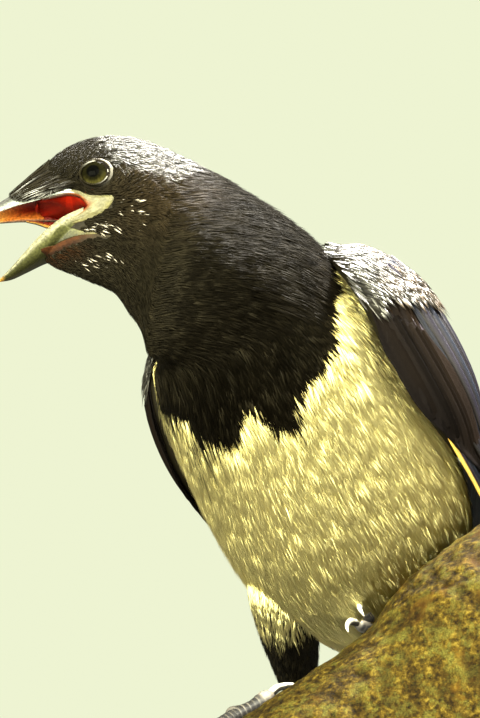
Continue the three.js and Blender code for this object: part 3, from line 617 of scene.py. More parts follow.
def tufts(rng, length, width, locks, thick, rings=3):
    """Locks of a set of feathers, laid flat: along and across in mm, height, and share of the length."""
    n = len(length)
    spot = np.linspace(-1, 1, locks) if locks > 1 else np.zeros(1)
    spot = spot + rng.normal(0, 0.14, (n, locks))
    reach = (1 - 0.3 * spot**2 + rng.normal(0, 0.07, (n, locks))) * length[:, None]
    half = width[:, None] / 2
    start = np.stack([0.16 * (1 - np.abs(spot)) * length[:, None] * 0.8, 0.22 * spot * half], -1)
    bend = np.stack([0.46 * reach, 0.85 * spot * half], -1)
    end = np.stack([reach, spot * half + rng.normal(0, 0.05, (n, locks)) * half], -1)
    shares, widths = LOCK_SHAPES[rings]
    t = np.append(shares, 1.0)[None, None, :, None]
    path = start[:, :, None] * (1 - t) ** 2 + bend[:, :, None] * 2 * t * (1 - t) + end[:, :, None] * t**2
    way = (bend - start)[:, :, None] * (1 - t) + (end - bend)[:, :, None] * t
    way = way / np.maximum(np.linalg.norm(way, axis=-1, keepdims=True), 1e-6)
    side = np.stack([-way[..., 1], way[..., 0]], -1)
    spread = (width / (2 * locks))[:, None, None, None] * np.array(widths)[None, None, :, None]
    middle = path[:, :, :-1]
    flat = np.stack([middle - side[:, :, :-1] * spread, middle + side[:, :, :-1] * spread, middle], 3)
    flat = np.concatenate([flat.reshape(n, locks, 3 * rings, 2), path[:, :, -1:]], 2)
    height = np.tile([0.0, 0.0, thick], rings)
    height = np.append(height, thick * 0.3)
    share = flat[..., 0] / length[:, None, None]
    return flat[..., 0], flat[..., 1], np.broadcast_to(height, share.shape), share


def lock_faces(count, rings):
    """Triangles of many locks of so many three-cornered rings and a tip each."""
    faces = []
    for first in range(0, 3 * (rings - 1), 3):
        for k in range(3):
            a, d = first + k, first + (k + 1) % 3
            faces.extend([(a, a + 3, d + 3), (a, d + 3, d)])
    last, tip = 3 * (rings - 1), 3 * rings
    faces.extend((last + k, tip, last + (k + 1) % 3) for k in range(3))
    return (np.array(faces)[None] + (np.arange(count) * (tip + 1))[:, None, None]).reshape(-1, 3)


def lay_on(tube, s, a, turn):
    """A function that lays flat feathers on a tube, from roots s and a, turned from the way back."""
    pace_s, pace_a = tube.pace(s, a)
    shape = (len(s), 1, 1)
    s, a, turn, pace_s, pace_a = (value.reshape(shape) for value in (s, a, turn, pace_s, pace_a))

    def place(ahead, across, height):
        back = ahead * np.cos(turn) - across * np.sin(turn)
        round_ = ahead * np.sin(turn) + across * np.cos(turn)
        return tube.at(s + back / pace_s, a + round_ / pace_a, height)

    return place


def bake_home(a, share):
    """A root's own place on the bake map, from its angle and its share of the way along."""
    return np.column_stack([np.mod(a, 2 * np.pi) / (2 * np.pi), share]) * 0.99


def bake_places(home, across, width, share):
    """Places on the bake map: a small patch for each feather, at its root's place."""
    patch = np.stack([across / width[:, None, None] + 0.5, share], -1) * TUFT_PATCH
    return home[:, None, None] + patch


def add_coat(name, slot, material, points, colours, places):
    """Pieces of locks under the limit of triangles. The arrays run over feathers, locks and points."""
    feathers, locks, corners = points.shape[:3]
    rings = (corners - 1) // 3
    most = max(1, PIECE_LIMIT // (locks * (6 * rings - 3)))
    for part, first in enumerate(range(0, feathers, most)):
        chunk = slice(first, first + most)
        verts = points[chunk].reshape(-1, 3)
        faces = lock_faces(len(verts) // corners, rings)
        tint = colours[chunk].reshape(-1, 3)
        mesh = make_mesh(name, verts, [faces], tint, {"OFBake": places[chunk].reshape(-1, 2)})
        add_piece(f"{name}_{part + 1}", mesh, slot, materials=[material])


def scatter(rng, tube, first, last, spacing):
    """Roots spread evenly over a tube between two stations, as s and a."""
    found_s, found_a = [], []
    s = first
    turns = np.linspace(0, 2 * np.pi, 97)
    while s < last:
        gap = float(spacing(s))
        pace_s, pace_a = tube.pace(np.full(97, s), turns)
        arc = np.concatenate([[0], np.cumsum((pace_a[1:] + pace_a[:-1]) / 2 * np.diff(turns))])
        count = max(3, int(arc[-1] / gap))
        wanted = (np.arange(count) + rng.random() + rng.normal(0, 0.22, count)) % count * arc[-1] / count
        a = np.interp(wanted, arc, turns)
        keep = rng.random(count) < np.interp(a, turns, pace_s) / pace_s.max()
        found_a.append(a[keep])
        found_s.append((s + rng.normal(0, 0.25, count) * gap / pace_s.max())[keep])
        s += gap * 0.87 / pace_s.max()
    return np.concatenate(found_s), np.concatenate(found_a)


# Markings, in the torso's own frame

# The bib's lower edge: angle from the middle of the belly, and distance back
BIB_EDGE = [
    (-2.2, -52), (-1.4, -46), (-1.15, -40), (-0.84, -36), (-0.49, -31), (-0.27, -22), (-0.14, -21),
    (-0.05, -28), (0.08, -31), (0.22, -21), (0.33, -18), (0.45, -27), (0.63, -28), (0.84, -31),
    (1.01, -34), (1.26, -40), (1.54, -46), (2.2, -60),
]
VENT_EDGE = 60.0


def belly_angle(a):
    """Angle round the body from the middle of the belly, towards the bird's left."""
    return np.pi - np.mod(a, 2 * np.pi)


def markings(s, a, rng=None):
    """For roots on the body: whether they are white, and their colours at the root and the tip."""
    back = local(TORSO, BODY.at(s, a))[..., 1]
    turn = belly_angle(a)
    ragged = rng.normal(0, 0.9, s.shape) if rng else 0.0
    edge = np.interp(turn, *np.transpose(BIB_EDGE))
    on_torso = s > THROAT
    belly = on_torso & (back + ragged > edge) & (back + ragged < VENT_EDGE) & (np.abs(turn) < 1.75)
    scapular = on_torso & (np.abs(np.abs(turn) - 2.12) < 0.3) & (np.abs(back + ragged + 8) < 27)
    rump = on_torso & (np.abs(turn) > 2.3) & (back + ragged > 50) & (back + ragged < 66)
    white = belly | scapular | rump
    # Roots are darker than tips: painted shade deep in the coat.
    root = np.where(white[..., None], CREAM_DEEP, INK * 0.7)
    tip = np.where(white[..., None], CREAM, INK)
    root = np.where(rump[..., None], GREY * 0.8, root)
    tip = np.where(rump[..., None], GREY * 1.3, tip)
    return white, root, tip


def fringe(s, a):
    """Black feathers near the bib's lower edge are shorter, so that its lobes show."""
    short = np.interp(belly_angle(a), *np.transpose(BIB_EDGE)) - local(TORSO, BODY.at(s, a))[..., 1]
    return np.where(s > THROAT, lerp(0.62, 1, smoothstep(short, 0, 14)), 1)


def head_browns_and_sunlight(points, tip):
    """Brown shades of the young bird's cheeks, shoulders and mantle: partly its dull young plumage, partly
    painted sunlight.
    """
    left, forward, up = head_place(points)
    cheek = round_spot(forward, up, (-15, -9), (12, 11)) * (np.abs(left) > 5)
    back = local(TORSO, points)
    mantle = smoothstep(back[..., 2], -5, 25) * smoothstep(back[..., 1], -70, -40)
    flank = smoothstep(np.abs(back[..., 0]), 24, 42) * smoothstep(back[..., 1], -75, -50)
    share = np.clip(0.2 * cheek + 0.15 * np.maximum(mantle, flank), 0, 1)[..., None]
    tip = tip * (1 - share) + BROWN * share
    chin = round_spot(forward, up, (13, -21.5), (6, 2.4))[..., None]
    return lerp(tip, ORANGE_SKIN * 0.5, chin * 0.85)


# The mouth, as in the solids

GAPE = (2.7, -9.8)
MOUTH_PROFILE = np.array([
    GAPE, (5, -6.6), (9, -4.9), (18, -5.2), (30, -7), (48, -11), (48, -46), (29, -30), (21.6, -22.6),
    (16.6, -18), (10.3, -13.8), (6, -11.8),
], float)
# Outline of the bare pale flesh behind the corner of the mouth, as forward and up
FLANGE_OUTER = [
    (16.5, -5), (12, -4.2), (8, -3.9), (5, -4.9), (2, -6.8), (-1, -7.4), (-5, -8.1), (-4.5, -10.3),
    (-2.5, -12.4), (0.1, -13.5), (2.5, -14.2), (6.1, -14.7), (9.5, -15.1),
]
FLANGE_INNER = [
    (16.5, -5.4), (12, -5.1), (8.6, -5.2), (5.8, -6.2), (4.2, -7.6), (3.3, -9), (2.8, -10), (3, -10.6),
    (3.6, -11.2), (4.4, -11.9), (5.2, -12.4), (7.5, -13.2), (9.8, -13.9),
]
# The lower bill's horn runs back along the jaw, with a bare streak of skin below it
FLANK_TOP = [(15, -19.3), (11, -15.6), (7.5, -16), (5, -17.2), (2, -17.9), (-1.5, -18.7)]
FLANK_BOTTOM = [(15, -20.2), (11.5, -19.3), (8.2, -18.6), (5, -18.4), (1.9, -18.7), (-1.5, -19)]
JAW_TOP = [
    (17, -21), (14.9, -20.3), (12.8, -19.7), (10.6, -19),
    (8.2, -18.5), (4.3, -18.4), (1, -18.8), (-5.5, -19.6),
]
JAW_BOTTOM = [
    (16.8, -21.6), (14.5, -22), (12.2, -21.7), (10, -21.1),
    (7.8, -20.6), (4.3, -20.4), (0.5, -20.5), (-5.5, -20.3),
]
LOWER_SIDE = [
    (4, -11), (10.3, -13.3), (16.6, -17.2), (21.6, -21.6), (21.6, -25), (16.6, -22.2), (10.3, -19), (4, -16),
]
EYE_OUT = 9.9
EYE_RADIUS = 5.2


def inside(polygon, x, y):
    """Whether points lie in a polygon."""
    polygon = np.asarray(polygon, float)
    x, y = np.asarray(x), np.asarray(y)
    found = np.zeros(x.shape, bool)
    for (x0, y0), (x1, y1) in zip(polygon, np.roll(polygon, -1, axis=0)):
        crosses = (y0 > y) != (y1 > y)
        with np.errstate(divide="ignore", invalid="ignore"):
            found ^= crosses & (x < (x1 - x0) * (y - y0) / (y1 - y0) + x0)
    return found


def bare(points):
    """Where no feathers grow on the head: mouth, bill, eyes and the flesh at the mouth's corner."""
    left, forward, up = head_place(points)
    side = np.abs(left)
    hole = inside(MOUTH_PROFILE, forward, up) | inside(LOWER_SIDE, forward, up)
    for edge, other in ((FLANGE_OUTER, FLANGE_INNER), (FLANK_TOP, FLANK_BOTTOM), (JAW_TOP, JAW_BOTTOM)):
        hole |= inside(np.vstack([edge, other[::-1]]), forward, up) & (side > 3)
    eye = (np.hypot(forward, up) < 5.2) & (side > 5)
    bill = (forward > 15.2) & (up > -22)
    near = np.linalg.norm(points - HEAD[:3, 3], axis=-1) < 60
    return near & (hole | eye | bill)


def head_turn(points):
    """How far feathers on the head turn from the way back: round the eye, and up over the ear."""
    left, forward, up = head_place(points)
    side = np.sign(left)
    spot = -forward + 1j * up
    with np.errstate(divide="ignore", invalid="ignore"):
        flow = 1 - 7.5**2 / np.where(np.abs(spot) < 7.6, 7.6 * spot / np.abs(spot), spot) ** 2
    round_eye = -np.angle(flow) * np.exp(-((np.abs(spot) / 13) ** 2)) * (np.abs(left) > 5)
    ear = 0.45 * round_spot(forward, up, (-13, -7), (9, 9)) * (np.abs(left) > 5)
    chin = 0.25 * round_spot(forward, up, (6, -20), (8, 6))
    return -side * (round_eye + ear - chin)


# Skin


def cut(piece, cutter, how="DIFFERENCE"):
    change = piece.modifiers.new("cut", "BOOLEAN")
    change.object = cutter
    change.operation = how
    change.solver = "MANIFOLD"
    change.material_mode = "TRANSFER"
    graph = bpy.context.evaluated_depsgraph_get()
    made = bpy.data.meshes.new_from_object(piece.evaluated_get(graph))
    piece.modifiers.clear()
    piece.data = made
    bpy.data.objects.remove(cutter)


def tool(name, verts, faces, material):
    mesh = make_mesh(name, verts, facing_out(verts, faces))
    mesh.materials.append(material)
    made = bpy.data.objects.new(name, mesh)
    bpy.context.scene.collection.objects.link(made)
    return made


def prism(profile, half):
    """A closed slab between two copies of a profile."""
    profile = np.asarray(profile, float)
    n = len(profile)
    side = [in_head(s * half, profile[:, 0], profile[:, 1]) for s in (-1, 1)]
    verts = np.vstack(side)
    k = np.arange(n)
    nxt = (k + 1) % n
    walls = np.stack([k, nxt, nxt + n, k + n], -1)
    caps = [np.arange(n)[None, ::-1], np.arange(n, 2 * n)[None]]
    return verts, [walls, *caps]


def ball(centre, radius, rows=24, sides=32, pole=(1, 0, 0)):
    """A closed ball with its poles along an axis of the head."""
    tilt = np.linspace(0, np.pi, rows + 2)[1:-1]
    turn = circle(sides)
    out = np.asarray(pole, float)
    u = normal_of(np.cross(out, (0.1, 0.2, 1)))
    v = np.cross(out, u)
    ring = np.cos(turn)[None, :, None] * u + np.sin(turn)[None, :, None] * v
    rings = centre + radius * (np.cos(tilt)[:, None, None] * out + np.sin(tilt)[:, None, None] * ring)
    verts, faces = loft(rings)
    verts[-2:] = centre + radius * out, centre - radius * out
    return verts, faces


def limb_rows(points, radii, steps=6):
    """Sections of a round limb through points."""
    path = smooth_rows(np.column_stack([points, radii]), steps)
    centre, radius = path[:, :3], path[:, 3]
    way = normal_of(np.gradient(centre, axis=0))
    hint = np.where(np.abs(way[:, 2:]) > 0.9, [[0, 1.0, 0]], [[0, 0, 1.0]])
    left = normal_of(np.cross(way, hint))
    up = np.cross(left, way)
    return np.column_stack([centre, left, up, radius, radius, radius])


# Legs: hip in the torso's frame, ankle in space, foot as (along the branch, degrees behind its top),
# toes as (direction, length), the back toe last, and how far the toes' ends stand off the branch
LEFT_TOES = [(12, 15), (-50, 14), (-68, 15), (150, 14)]
RIGHT_TOES = [(-30, 20), (-6, 23), (16, 18), (165, 14)]
LEGS = {
    "left": ((16, 26, -20), (27, 49, 216), (30, 28), LEFT_TOES, 2.8),
    "right": ((-17, 24, -22), (-29.8, 30.3, 193.8), (-27, 3), RIGHT_TOES, 0.4),
}
THIGH_RADII = (11, 11, 9.2, 6.9, 5)
THIGH_SHARES = (0, 0.3, 0.6, 0.85, 1)
THIGH_DEPTH = 1.3


def thigh_tube(leg):
    hip, ankle = put(TORSO, leg[0]), np.array(leg[1], float)
    points = [lerp(hip, ankle, t) for t in THIGH_SHARES]
    return Tube(limb_rows(np.array(points), THIGH_RADII, 2))


THIGHS = {name: thigh_tube(leg) for name, leg in LEGS.items()}


# The throat behind the mouth, as forward, half width and half height
THROAT_HOLLOW = [
    (-7, 1.2, 0.8), (-5, 2.4, 1.4), (-2, 5, 2.6), (2, 7, 3.4), (7, 7.4, 3.4), (12, 6.2, 2.9), (18, 5, 2.4),
]
SOCKET_GAP = 0.25


def add_skin():
    """The whole body's skin, under the coat, with the mouth, the eye sockets and both thighs."""
    mesh = make_mesh("skin", *solid(BODY.grid(200, 108, COAT_DEPTH)[0]))
    skin = bpy.data.objects.new("skin", mesh)
    bpy.context.scene.collection.objects.link(skin)
    mesh.materials.append(SKIN)
    for tube in THIGHS.values():
        thigh = loft(tube.grid(40, 32, lambda s: np.full(np.shape(s), THIGH_DEPTH))[0])
        cut(skin, tool("thigh", *thigh, SKIN), "UNION")
    cut(skin, tool("mouth", *prism(smooth_profile(MOUTH_PROFILE), 16), MOUTH))
    rings = []
    turn = circle(28)
    for forward, width, height in THROAT_HOLLOW:
        up = GAPE[1] - (GAPE[0] - forward) * 0.25 + height * np.cos(turn)
        rings.append(in_head(width * np.sin(turn), np.full(28, float(forward)), up))
    cut(skin, tool("throat", *loft(smooth_rings(rings)), MOUTH))
    for side in (-1, 1):
        socket = ball(in_head(side * EYE_OUT, 0, 0), EYE_RADIUS + SOCKET_GAP, 30, 40, HEAD[:3, 0])
        cut(skin, tool("socket", *socket, SKIN))
    colour_skin(skin)
    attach(skin, "root")
    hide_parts("head", "neck", "torso", "thigh_left", "thigh_right")
    return skin


def smooth_rings(rings, steps=3):
    rings = np.asarray(rings)
    return smooth_rows(rings.reshape(len(rings), -1), steps).reshape(-1, *rings.shape[1:])


def smooth_profile(profile):
    """A profile with its corners eased, for the mouth's inner faces."""
    inner = smooth_rows(np.vstack([profile[7:], profile[:5]]), 4)
    return np.vstack([inner, profile[5:7]])


def colour_skin(skin):
    mesh = skin.data
    points = np.empty(len(mesh.vertices) * 3, np.float32)
    mesh.vertices.foreach_get("co", points)
    points = points.reshape(-1, 3) / MM
    grid, s, a = BODY.grid(160, 72, COAT_DEPTH)
    s, a = s.ravel(), a.ravel()
    tree = KDTree(len(s))
    for i, point in enumerate(grid.reshape(-1, 3)):
        tree.insert(point, i)
    tree.balance()
    nearest = np.array([tree.find(point)[1] for point in points])
    apart = np.array([tree.find(point)[2] for point in points])
    white, root, tip = markings(s[nearest], a[nearest])
    tint = np.where(white[:, None], lerp(root, tip, 0.5), INK * 1.2)
    thigh = np.zeros(len(points), bool)
    for tube in THIGHS.values():
        spine = tube.dense[tube.STEPS * 2 :, :3]
        thigh |= np.linalg.norm(points[:, None] - spine[None], axis=-1).min(1) < 9.5
    tint[thigh & (apart > 0.8)] = INK
    left, forward, up = head_place(points)
    gum = np.zeros(len(points), bool)
    for face in mesh.polygons:
        if mesh.materials[face.material_index] == MOUTH:
            gum[list(face.vertices)] = True
    tint[gum] = GULLET * 1.2
    spot = round_spot(forward, up, (3.2, -5.3), (1.8, 1.3)) * (np.abs(left) > 8)
    tint = lerp(tint, rgb(0.3, 0.035, 0.012), np.clip(spot, 0, 1)[:, None])
    set_tint(mesh, tint)
    layer = mesh.uv_layers.new(name="OFBake")
    corner = np.empty(len(mesh.loops), np.int32)
    mesh.loops.foreach_get("vertex_index", corner)
    place = np.column_stack([np.mod(a[nearest], 2 * np.pi) / (2 * np.pi), s[nearest] / BODY.length])
    layer.data.foreach_set("uv", place[corner].astype(np.float32).ravel())


# Coat of the body

FEATHER_LENGTH = by_station(2.2, 2.6, 4.2, 6.4, 9.5, 13.0, 17.0, 19.0, 17.0, 15.0, 10.0)
FEATHER_WIDTH = by_station(0.9, 1.05, 1.5, 2.1, 3.2, 4.8, 6.2, 7.5, 7.2, 5.5, 4.0)
SPACING = by_station(0.85, 0.9, 1.0, 1.25, 1.65, 2.0, 2.15, 2.2, 2.4, 2.1, 2.0)
# Where small feathers get painted glints at their tips: the patch's middle and size as forward and up, and
# the share that do
GLINT_TIPS = [
    ((2, -16.6), (6.5, 1.5), 0.45),
    ((-8, -14), (4, 4), 0.13),
    ((3, -25.5), (8, 1.6), 0.2),
    ((8, -17.6), (4, 1.2), 0.4),
]


def glint_tips(points, shape, rng):
    left, forward, up = head_place(points)
    chance = np.zeros(len(points))
    for middle, size, most in GLINT_TIPS:
        here = round_spot(forward, up, middle, size) > 0.35
        chance = np.maximum(chance, most * here * (np.abs(left) > 4))
    return rng.random(shape) < chance[:, None]


def under_wing(s, a):
    """Roots that a wing hides."""
    p = local(TORSO, BODY.at(s, a))
    height = np.degrees(np.arctan2(p[..., 2], np.abs(p[..., 0])))
    hold = np.where(p[..., 0] > 0, 0.0, lerp(14.0, 12.0, smoothstep(p[..., 1], -20, 50)))
    low = along(WING_LOW_EDGE, p[..., 1]) + hold
    return (p[..., 1] > -32) & (height > low + 12) & (height < low + 50) & (s > THROAT)


# Lower edge of the glossy patch behind the eye, as forward and up
CROWN_EDGE = [(-40, 30), (-29, 8), (-17, -5), (-3, 6), (0, 9), (3, 30)]


# Regions of the coat: name, stations from and to, locks of a feather, their thickness and rings, looseness
COAT_REGIONS = [
    ("face", 0, CHEEK, 3, 0.05, 3, 0.35),
    ("head", CHEEK, NAPE, 5, 0.06, 3, 0.45),
    ("neck", NAPE, BREAST, 8, 0.1, 2, 0.8),
    ("body", BREAST, RUMP, 14, 0.08, 2, 0.55),
    ("rump", RUMP, BODY.length, 6, 0.14, 2, 0.8),
]


def add_body_coat():
    """Every small feather from the face to the tail's root, in pieces by region and colour."""
    for number, (name, first, last, locks, thick, rings, loose) in enumerate(COAT_REGIONS):
        rng = np.random.default_rng(40 + number)
        s, a = scatter(rng, BODY, first, last, SPACING)
        points = BODY.at(s, a)
        keep = ~bare(points) & ~(under_wing(s, a) & (rng.random(len(s)) < 0.6))
        s, a, points = s[keep], a[keep], points[keep]
        turn = rng.normal(0, 0.13, len(s)) + np.where(s < NAPE, head_turn(points), 0)
        length = FEATHER_LENGTH(s) * rng.uniform(0.8, 1.2, len(s))
        width = FEATHER_WIDTH(s) * rng.uniform(0.85, 1.15, len(s))
        white, root, tip = markings(s, a, rng)
        length *= np.where(white, 1, fringe(s, a))
        tip = np.where(white[:, None], tip, head_browns_and_sunlight(points, tip))
        shade = rng.uniform(0.75, 1.25, (len(s), 1))
        ahead, across, height, share = tufts(rng, length, width, locks, thick, rings)
        depth = COAT_DEPTH(s)[:, None, None]
        lift = depth * (1.22 * np.clip(share, 0, None) ** 0.6 - 1.2) + height
        stray = rng.normal(0, 0.12, len(s))[:, None, None]
        stray = stray + rng.normal(0, 0.07, share.shape[:2])[..., None]
        lift = lift + stray * share * depth * loose
        laid = lay_on(BODY, s, a, turn)(ahead, across, lift)
        # Locks fade from the darker root colour, painted shade deep in the coat, to the tip colour.
        fade = smoothstep(share, 0.1, 0.8)[..., None]
        colour = lerp(root[:, None, None], tip[:, None, None], fade)
        uneven = rng.uniform(0.8, 1.2, (*share.shape[:2], 1, 1)) * shade[:, None, None]
        soft = np.minimum(colour * uneven**0.2, 0.93)
        colour = np.where(white[:, None, None, None], soft, colour * uneven)
        if first < NAPE:
            # Small feathers in these patches get pale tips: painted glints.
            glinting = glint_tips(points, share.shape[:2], rng)[..., None, None]
            colour = lerp(colour, GLINT_TIP, glinting * smoothstep(share, 0.6, 0.85)[..., None])
        home = bake_home(a, np.clip(s / BODY.length, 0, 1))
        places = bake_places(home, across, width, share)
        glossy = np.zeros(len(s), bool)
        if first < NAPE:
            _, forward, up = head_place(points)
            ragged = rng.normal(0, 1.3, (2, len(s)))
            glossy = up + ragged[0] > np.interp(forward + ragged[1], *np.transpose(CROWN_EDGE))
        for shade_name, slot, material, chosen in (
            ("black", "plumage_black", BLACK_COAT, ~white & ~glossy),
            ("glossy", "plumage_black", HEAD_COAT, ~white & glossy),
            ("white", "plumage_white", WHITE_COAT, white),
        ):
            if chosen.any():
                arrays = (array[chosen] for array in (laid, colour, places))
                add_coat(f"coat_{name}_{shade_name}", slot, material, *arrays)


def add_thigh_coat():
    for number, (name, tube) in enumerate(THIGHS.items()):
        rng = np.random.default_rng(60 + number)
        s, a = scatter(rng, tube, tube.length * 0.2, tube.length * 0.985, lambda s: 1.5)
        size = np.interp(s / tube.length, (0, 0.5, 1), (13, 9, 4.5))
        length = size * rng.uniform(0.8, 1.2, len(s))
        width = length * 0.3
        ahead, across, height, share = tufts(rng, length, width, 5, 0.08, 2)
        turn = rng.normal(0, 0.15, len(s))
        rise = 1.2 * np.clip(share, 0, None) ** 0.6 - 1.15
        lift = THIGH_DEPTH * rise + height + rng.normal(0, 0.2, (len(s), 1, 1)) * share
        laid = lay_on(tube, s, a, turn)(ahead, across, lift)
        at = s / tube.length
        pale = smoothstep(at + rng.normal(0, 0.025, len(s)), 0.46, 0.4)[:, None, None, None]
        streaked = lerp(1.0, 0.72, smoothstep(at, 0.2, 0.36))[:, None, None, None]
        pale = pale * (rng.random((len(s), 5, 1, 1)) < streaked)
        shade = rng.uniform(0.6, 1.4, (len(s), 1, 1, 1))
        colour = lerp(INK * shade, CREAM * 0.9, pale) * np.ones_like(laid)
        places = bake_places(bake_home(a, s / tube.length), across, width, share)
        add_coat(f"coat_thigh_{name}", "plumage_black", BLACK_COAT, laid, colour, places)


# Wings, on a surface bent round the torso, as in the solids

WING_START = -42
WING_LENGTH = 178
WING_RADIUS = [(-46, 36), (-30, 42), (0, 45.5), (25, 45), (50, 41), (80, 35), (110, 31), (150, 27)]
WING_LOW_EDGE = [(-46, -16), (-20, -24), (10, -22), (40, -11), (80, 12), (110, 26), (150, 38)]
# How each wing is held: side, how many degrees higher in front and behind, fullness, and how tight
HOLDS = {"left": (1, 0, 0, 1.0, 0), "right": (-1, 14, 12, 0.85, 3)}


def on_wing(hold, length, across, height):
    side, front, rear, _, tight = hold
    back = WING_START + length
    radius = along(WING_RADIUS, back) - tight
    low = along(WING_LOW_EDGE, back) + lerp(front, rear, smoothstep(back, -20, 50))
    angle = np.radians(low) + across / radius
    out = radius + height
    place = np.broadcast_arrays(side * out * np.cos(angle), back, out * np.sin(angle))
    return put(TORSO, np.stack(place, -1))


def vane(place, length, width, shaft, rng, rows=20, thick=0.35, tip=0.22, point=0.55):
    """A flight feather: a thin closed vane with a raised shaft, laid by place(share, across, height)."""
    t = 1 - (1 - np.linspace(0, 1, rows)) ** 1.5
    columns = np.array([-1, -0.72, -0.4, -0.15, -0.04, 0.04, 0.15, 0.4, 0.72, 1])
    wide = lerp(0.3, 1, smoothstep(t, 0, 0.3)) * np.where(
        t < 1 - tip, 1, np.sqrt(np.clip(1 - ((t - 1 + tip) / (tip * 1.01)) ** 2, 0, 1)) ** point
    )
    low, high = -0.5 - shaft, 0.5 - shaft
    across = np.where(columns < 0, -columns * low, columns * high)[None] * (wide * width)[:, None]
    rag = 1 - np.abs(rng.normal(0, 0.018, (rows, 2)))
    for _ in range(2):
        rag[rng.integers(rows // 3, rows - 2), rng.integers(0, 2)] *= 0.9
    across[:, 0] *= rag[:, 0]
    across[:, -1] *= rag[:, 1]
    share = np.broadcast_to(t[:, None], across.shape)
    ridge = np.where(np.abs(columns) < 0.1, 0.5, 0.0)[None] * lerp(1, 0.2, t)[:, None]
    body = thick * (1 - 0.6 * np.abs(columns) ** 2)[None]
    top = place(share, across, body + ridge)
    under = place(share, across, -0.3 * ridge)
    verts, faces = sheet(top, under)
    barbs = np.stack([share * length, across], -1).reshape(-1, 2)
    shares = np.tile(share.ravel(), 2), np.tile(across.ravel() / width, 2)
    return verts, faces, np.vstack([barbs, barbs]), *shares


def add_vanes(name, slot, material, feathers, *nodes):
    """One piece from many vanes. Each feather is (vane parts, colour function)."""
    verts, faces, tints, barbs, bake, start = [], [], [], [], [], 0
    grid = math.ceil(math.sqrt(len(feathers)))
    for number, ((points, blocks, barb, share, across), paint) in enumerate(feathers):
        verts.append(points)
        faces.extend(block + start for block in blocks)
        start += len(points)
        tints.append(paint(share, across))
        barbs.append(barb)
        cell = np.array((number % grid, number // grid))
        under = np.repeat((0, 1), len(points) // 2)
        spot = np.column_stack([(across + 0.75) / 1.5 * 0.45 + under * 0.5, share * 0.94]) + 0.02
        bake.append((cell + np.clip(spot, 0.01, 0.99)) / grid)
    maps = {"OFBake": np.vstack(bake), "barbs": np.vstack(barbs)}
    mesh = make_mesh(name, np.vstack(verts), faces, np.vstack(tints), maps)
    add_piece(name, mesh, slot, *nodes, materials=[material])


# Feathers of a wing: count, roots and tips as (length, across) of the first and the last, width, height,
# the shaft's place, and whether they lie over the arm
TIERS = {
    "primary": (9, ((40, 7), (58, 21)), ((128, 4), (WING_LENGTH, 19)), 8.5, 0.6, -0.22, False),
    "secondary": (9, ((46, 15), (52, 42)), ((120, 15), (132, 39)), 10.5, 1.9, -0.12, False),
    "tertial": (5, ((34, 26), (40, 46)), ((128, 30), (112, 46)), 9.5, 1.0, 0.0, True),
    "greater_covert": (10, ((14, 11), (16, 46)), ((104, 17), (136, 43)), 7.5, 0.5, -0.15, True),
    "panel": (7, ((12, 4), (24, 12)), ((50, 4), (80, 13)), 8.0, 1.3, 0.0, True),
    "median_covert": (8, ((4, 17), (6, 42)), ((66, 20), (116, 45)), 6.6, 1.3, -0.1, True),
    "alula": (3, ((6, 7), (10, 12)), ((30, 4), (40, 9)), 5.0, 0.7, 0.0, True),
}
MATTE_TIERS = ("panel", "alula")
BLUE = rgb(0.007, 0.016, 0.034)
VIOLET = rgb(0.016, 0.009, 0.02)
TEAL = rgb(0.006, 0.02, 0.018)
DARK = rgb(0.006, 0.005, 0.005)
BRONZE = rgb(0.045, 0.027, 0.014)
BRASSY = rgb(0.05, 0.045, 0.012)
OCHRE = rgb(0.5, 0.34, 0.07)
PALE_EDGE = rgb(0.16, 0.17, 0.19)
# Brown tips of the small coverts: partly the young bird's brown, partly painted sunlight.
COVERT_TIP = rgb(0.17, 0.12, 0.085)


def wing_paint(tier, share_in_tier, rng):
    hue = rng.uniform(0, 1)
    if tier in MATTE_TIERS:
        base = lerp(DARK * 0.9, BRONZE * 0.16, hue)
    else:
        base = lerp(BLUE, VIOLET, hue)
    shade = rng.uniform(0.6, 1.4)

    def paint(share, across):
        gloss = smoothstep(across, -0.35, 0.2)[:, None]
        colour = lerp(DARK, base, gloss) * shade
        edge = smoothstep(across, 0.4, 0.5)[:, None]
        if tier in ("greater_covert", "median_covert", "tertial", "secondary"):
            colour = lerp(colour, PALE_EDGE, edge * 0.55)
        if tier == "primary":
            pale = smoothstep(across, 0.1, 0.25) * smoothstep(share, 0.12, 0.25)
            pale = pale * smoothstep(share, 0.9, 0.75)
            colour = lerp(colour, CREAM, (pale * (share_in_tier > 0.3))[:, None])
        if tier == "primary" and share_in_tier < 0.1:
            quill = smoothstep(across, -0.06, -0.13)[:, None]
            colour = lerp(colour, OCHRE, quill)
        return colour

    return paint


def arm_top(rows, hold, length, across):
    """Height of the wing's arm over the surface that the wing lies on."""
    low, high, thick = (np.interp(length, rows[:, 0], rows[:, k]) for k in (1, 2, 3))
    middle = np.clip((across - low) / (high - low), 0, 1)
    crown = 2 * np.sqrt(np.clip(middle * (1 - middle), 0, 0.25))
    return lerp(ARM_INNER, (thick - 1.2) * hold[3], 0.5 + 0.5 * crown)


def wing_place(hold, rows, root, tip, lift, over):
    """Where a wing feather lies: its share of length, millimetres across, and height go to a point."""
    full = hold[3]

    def place(share, across, height):
        length = lerp(root[0], tip[0], share)
        middle = lerp(root[1], tip[1], share)
        settle = 1 - 0.35 * smoothstep(length, 20, WING_LENGTH)
        tilt = -across * 0.05 - 0.012 * across**2
        rise = (lift + middle * 0.14 + tilt) * settle * full
        if over:
            beyond = smoothstep(length, 58, 100)
            on_arm = np.maximum(arm_top(rows, hold, length, middle + across), 0.6) + lift + tilt * 0.4
            rise = lerp(on_arm, rise + 2.6 * settle * full, beyond)
        return on_wing(hold, length, middle + across, rise + height)

    return place


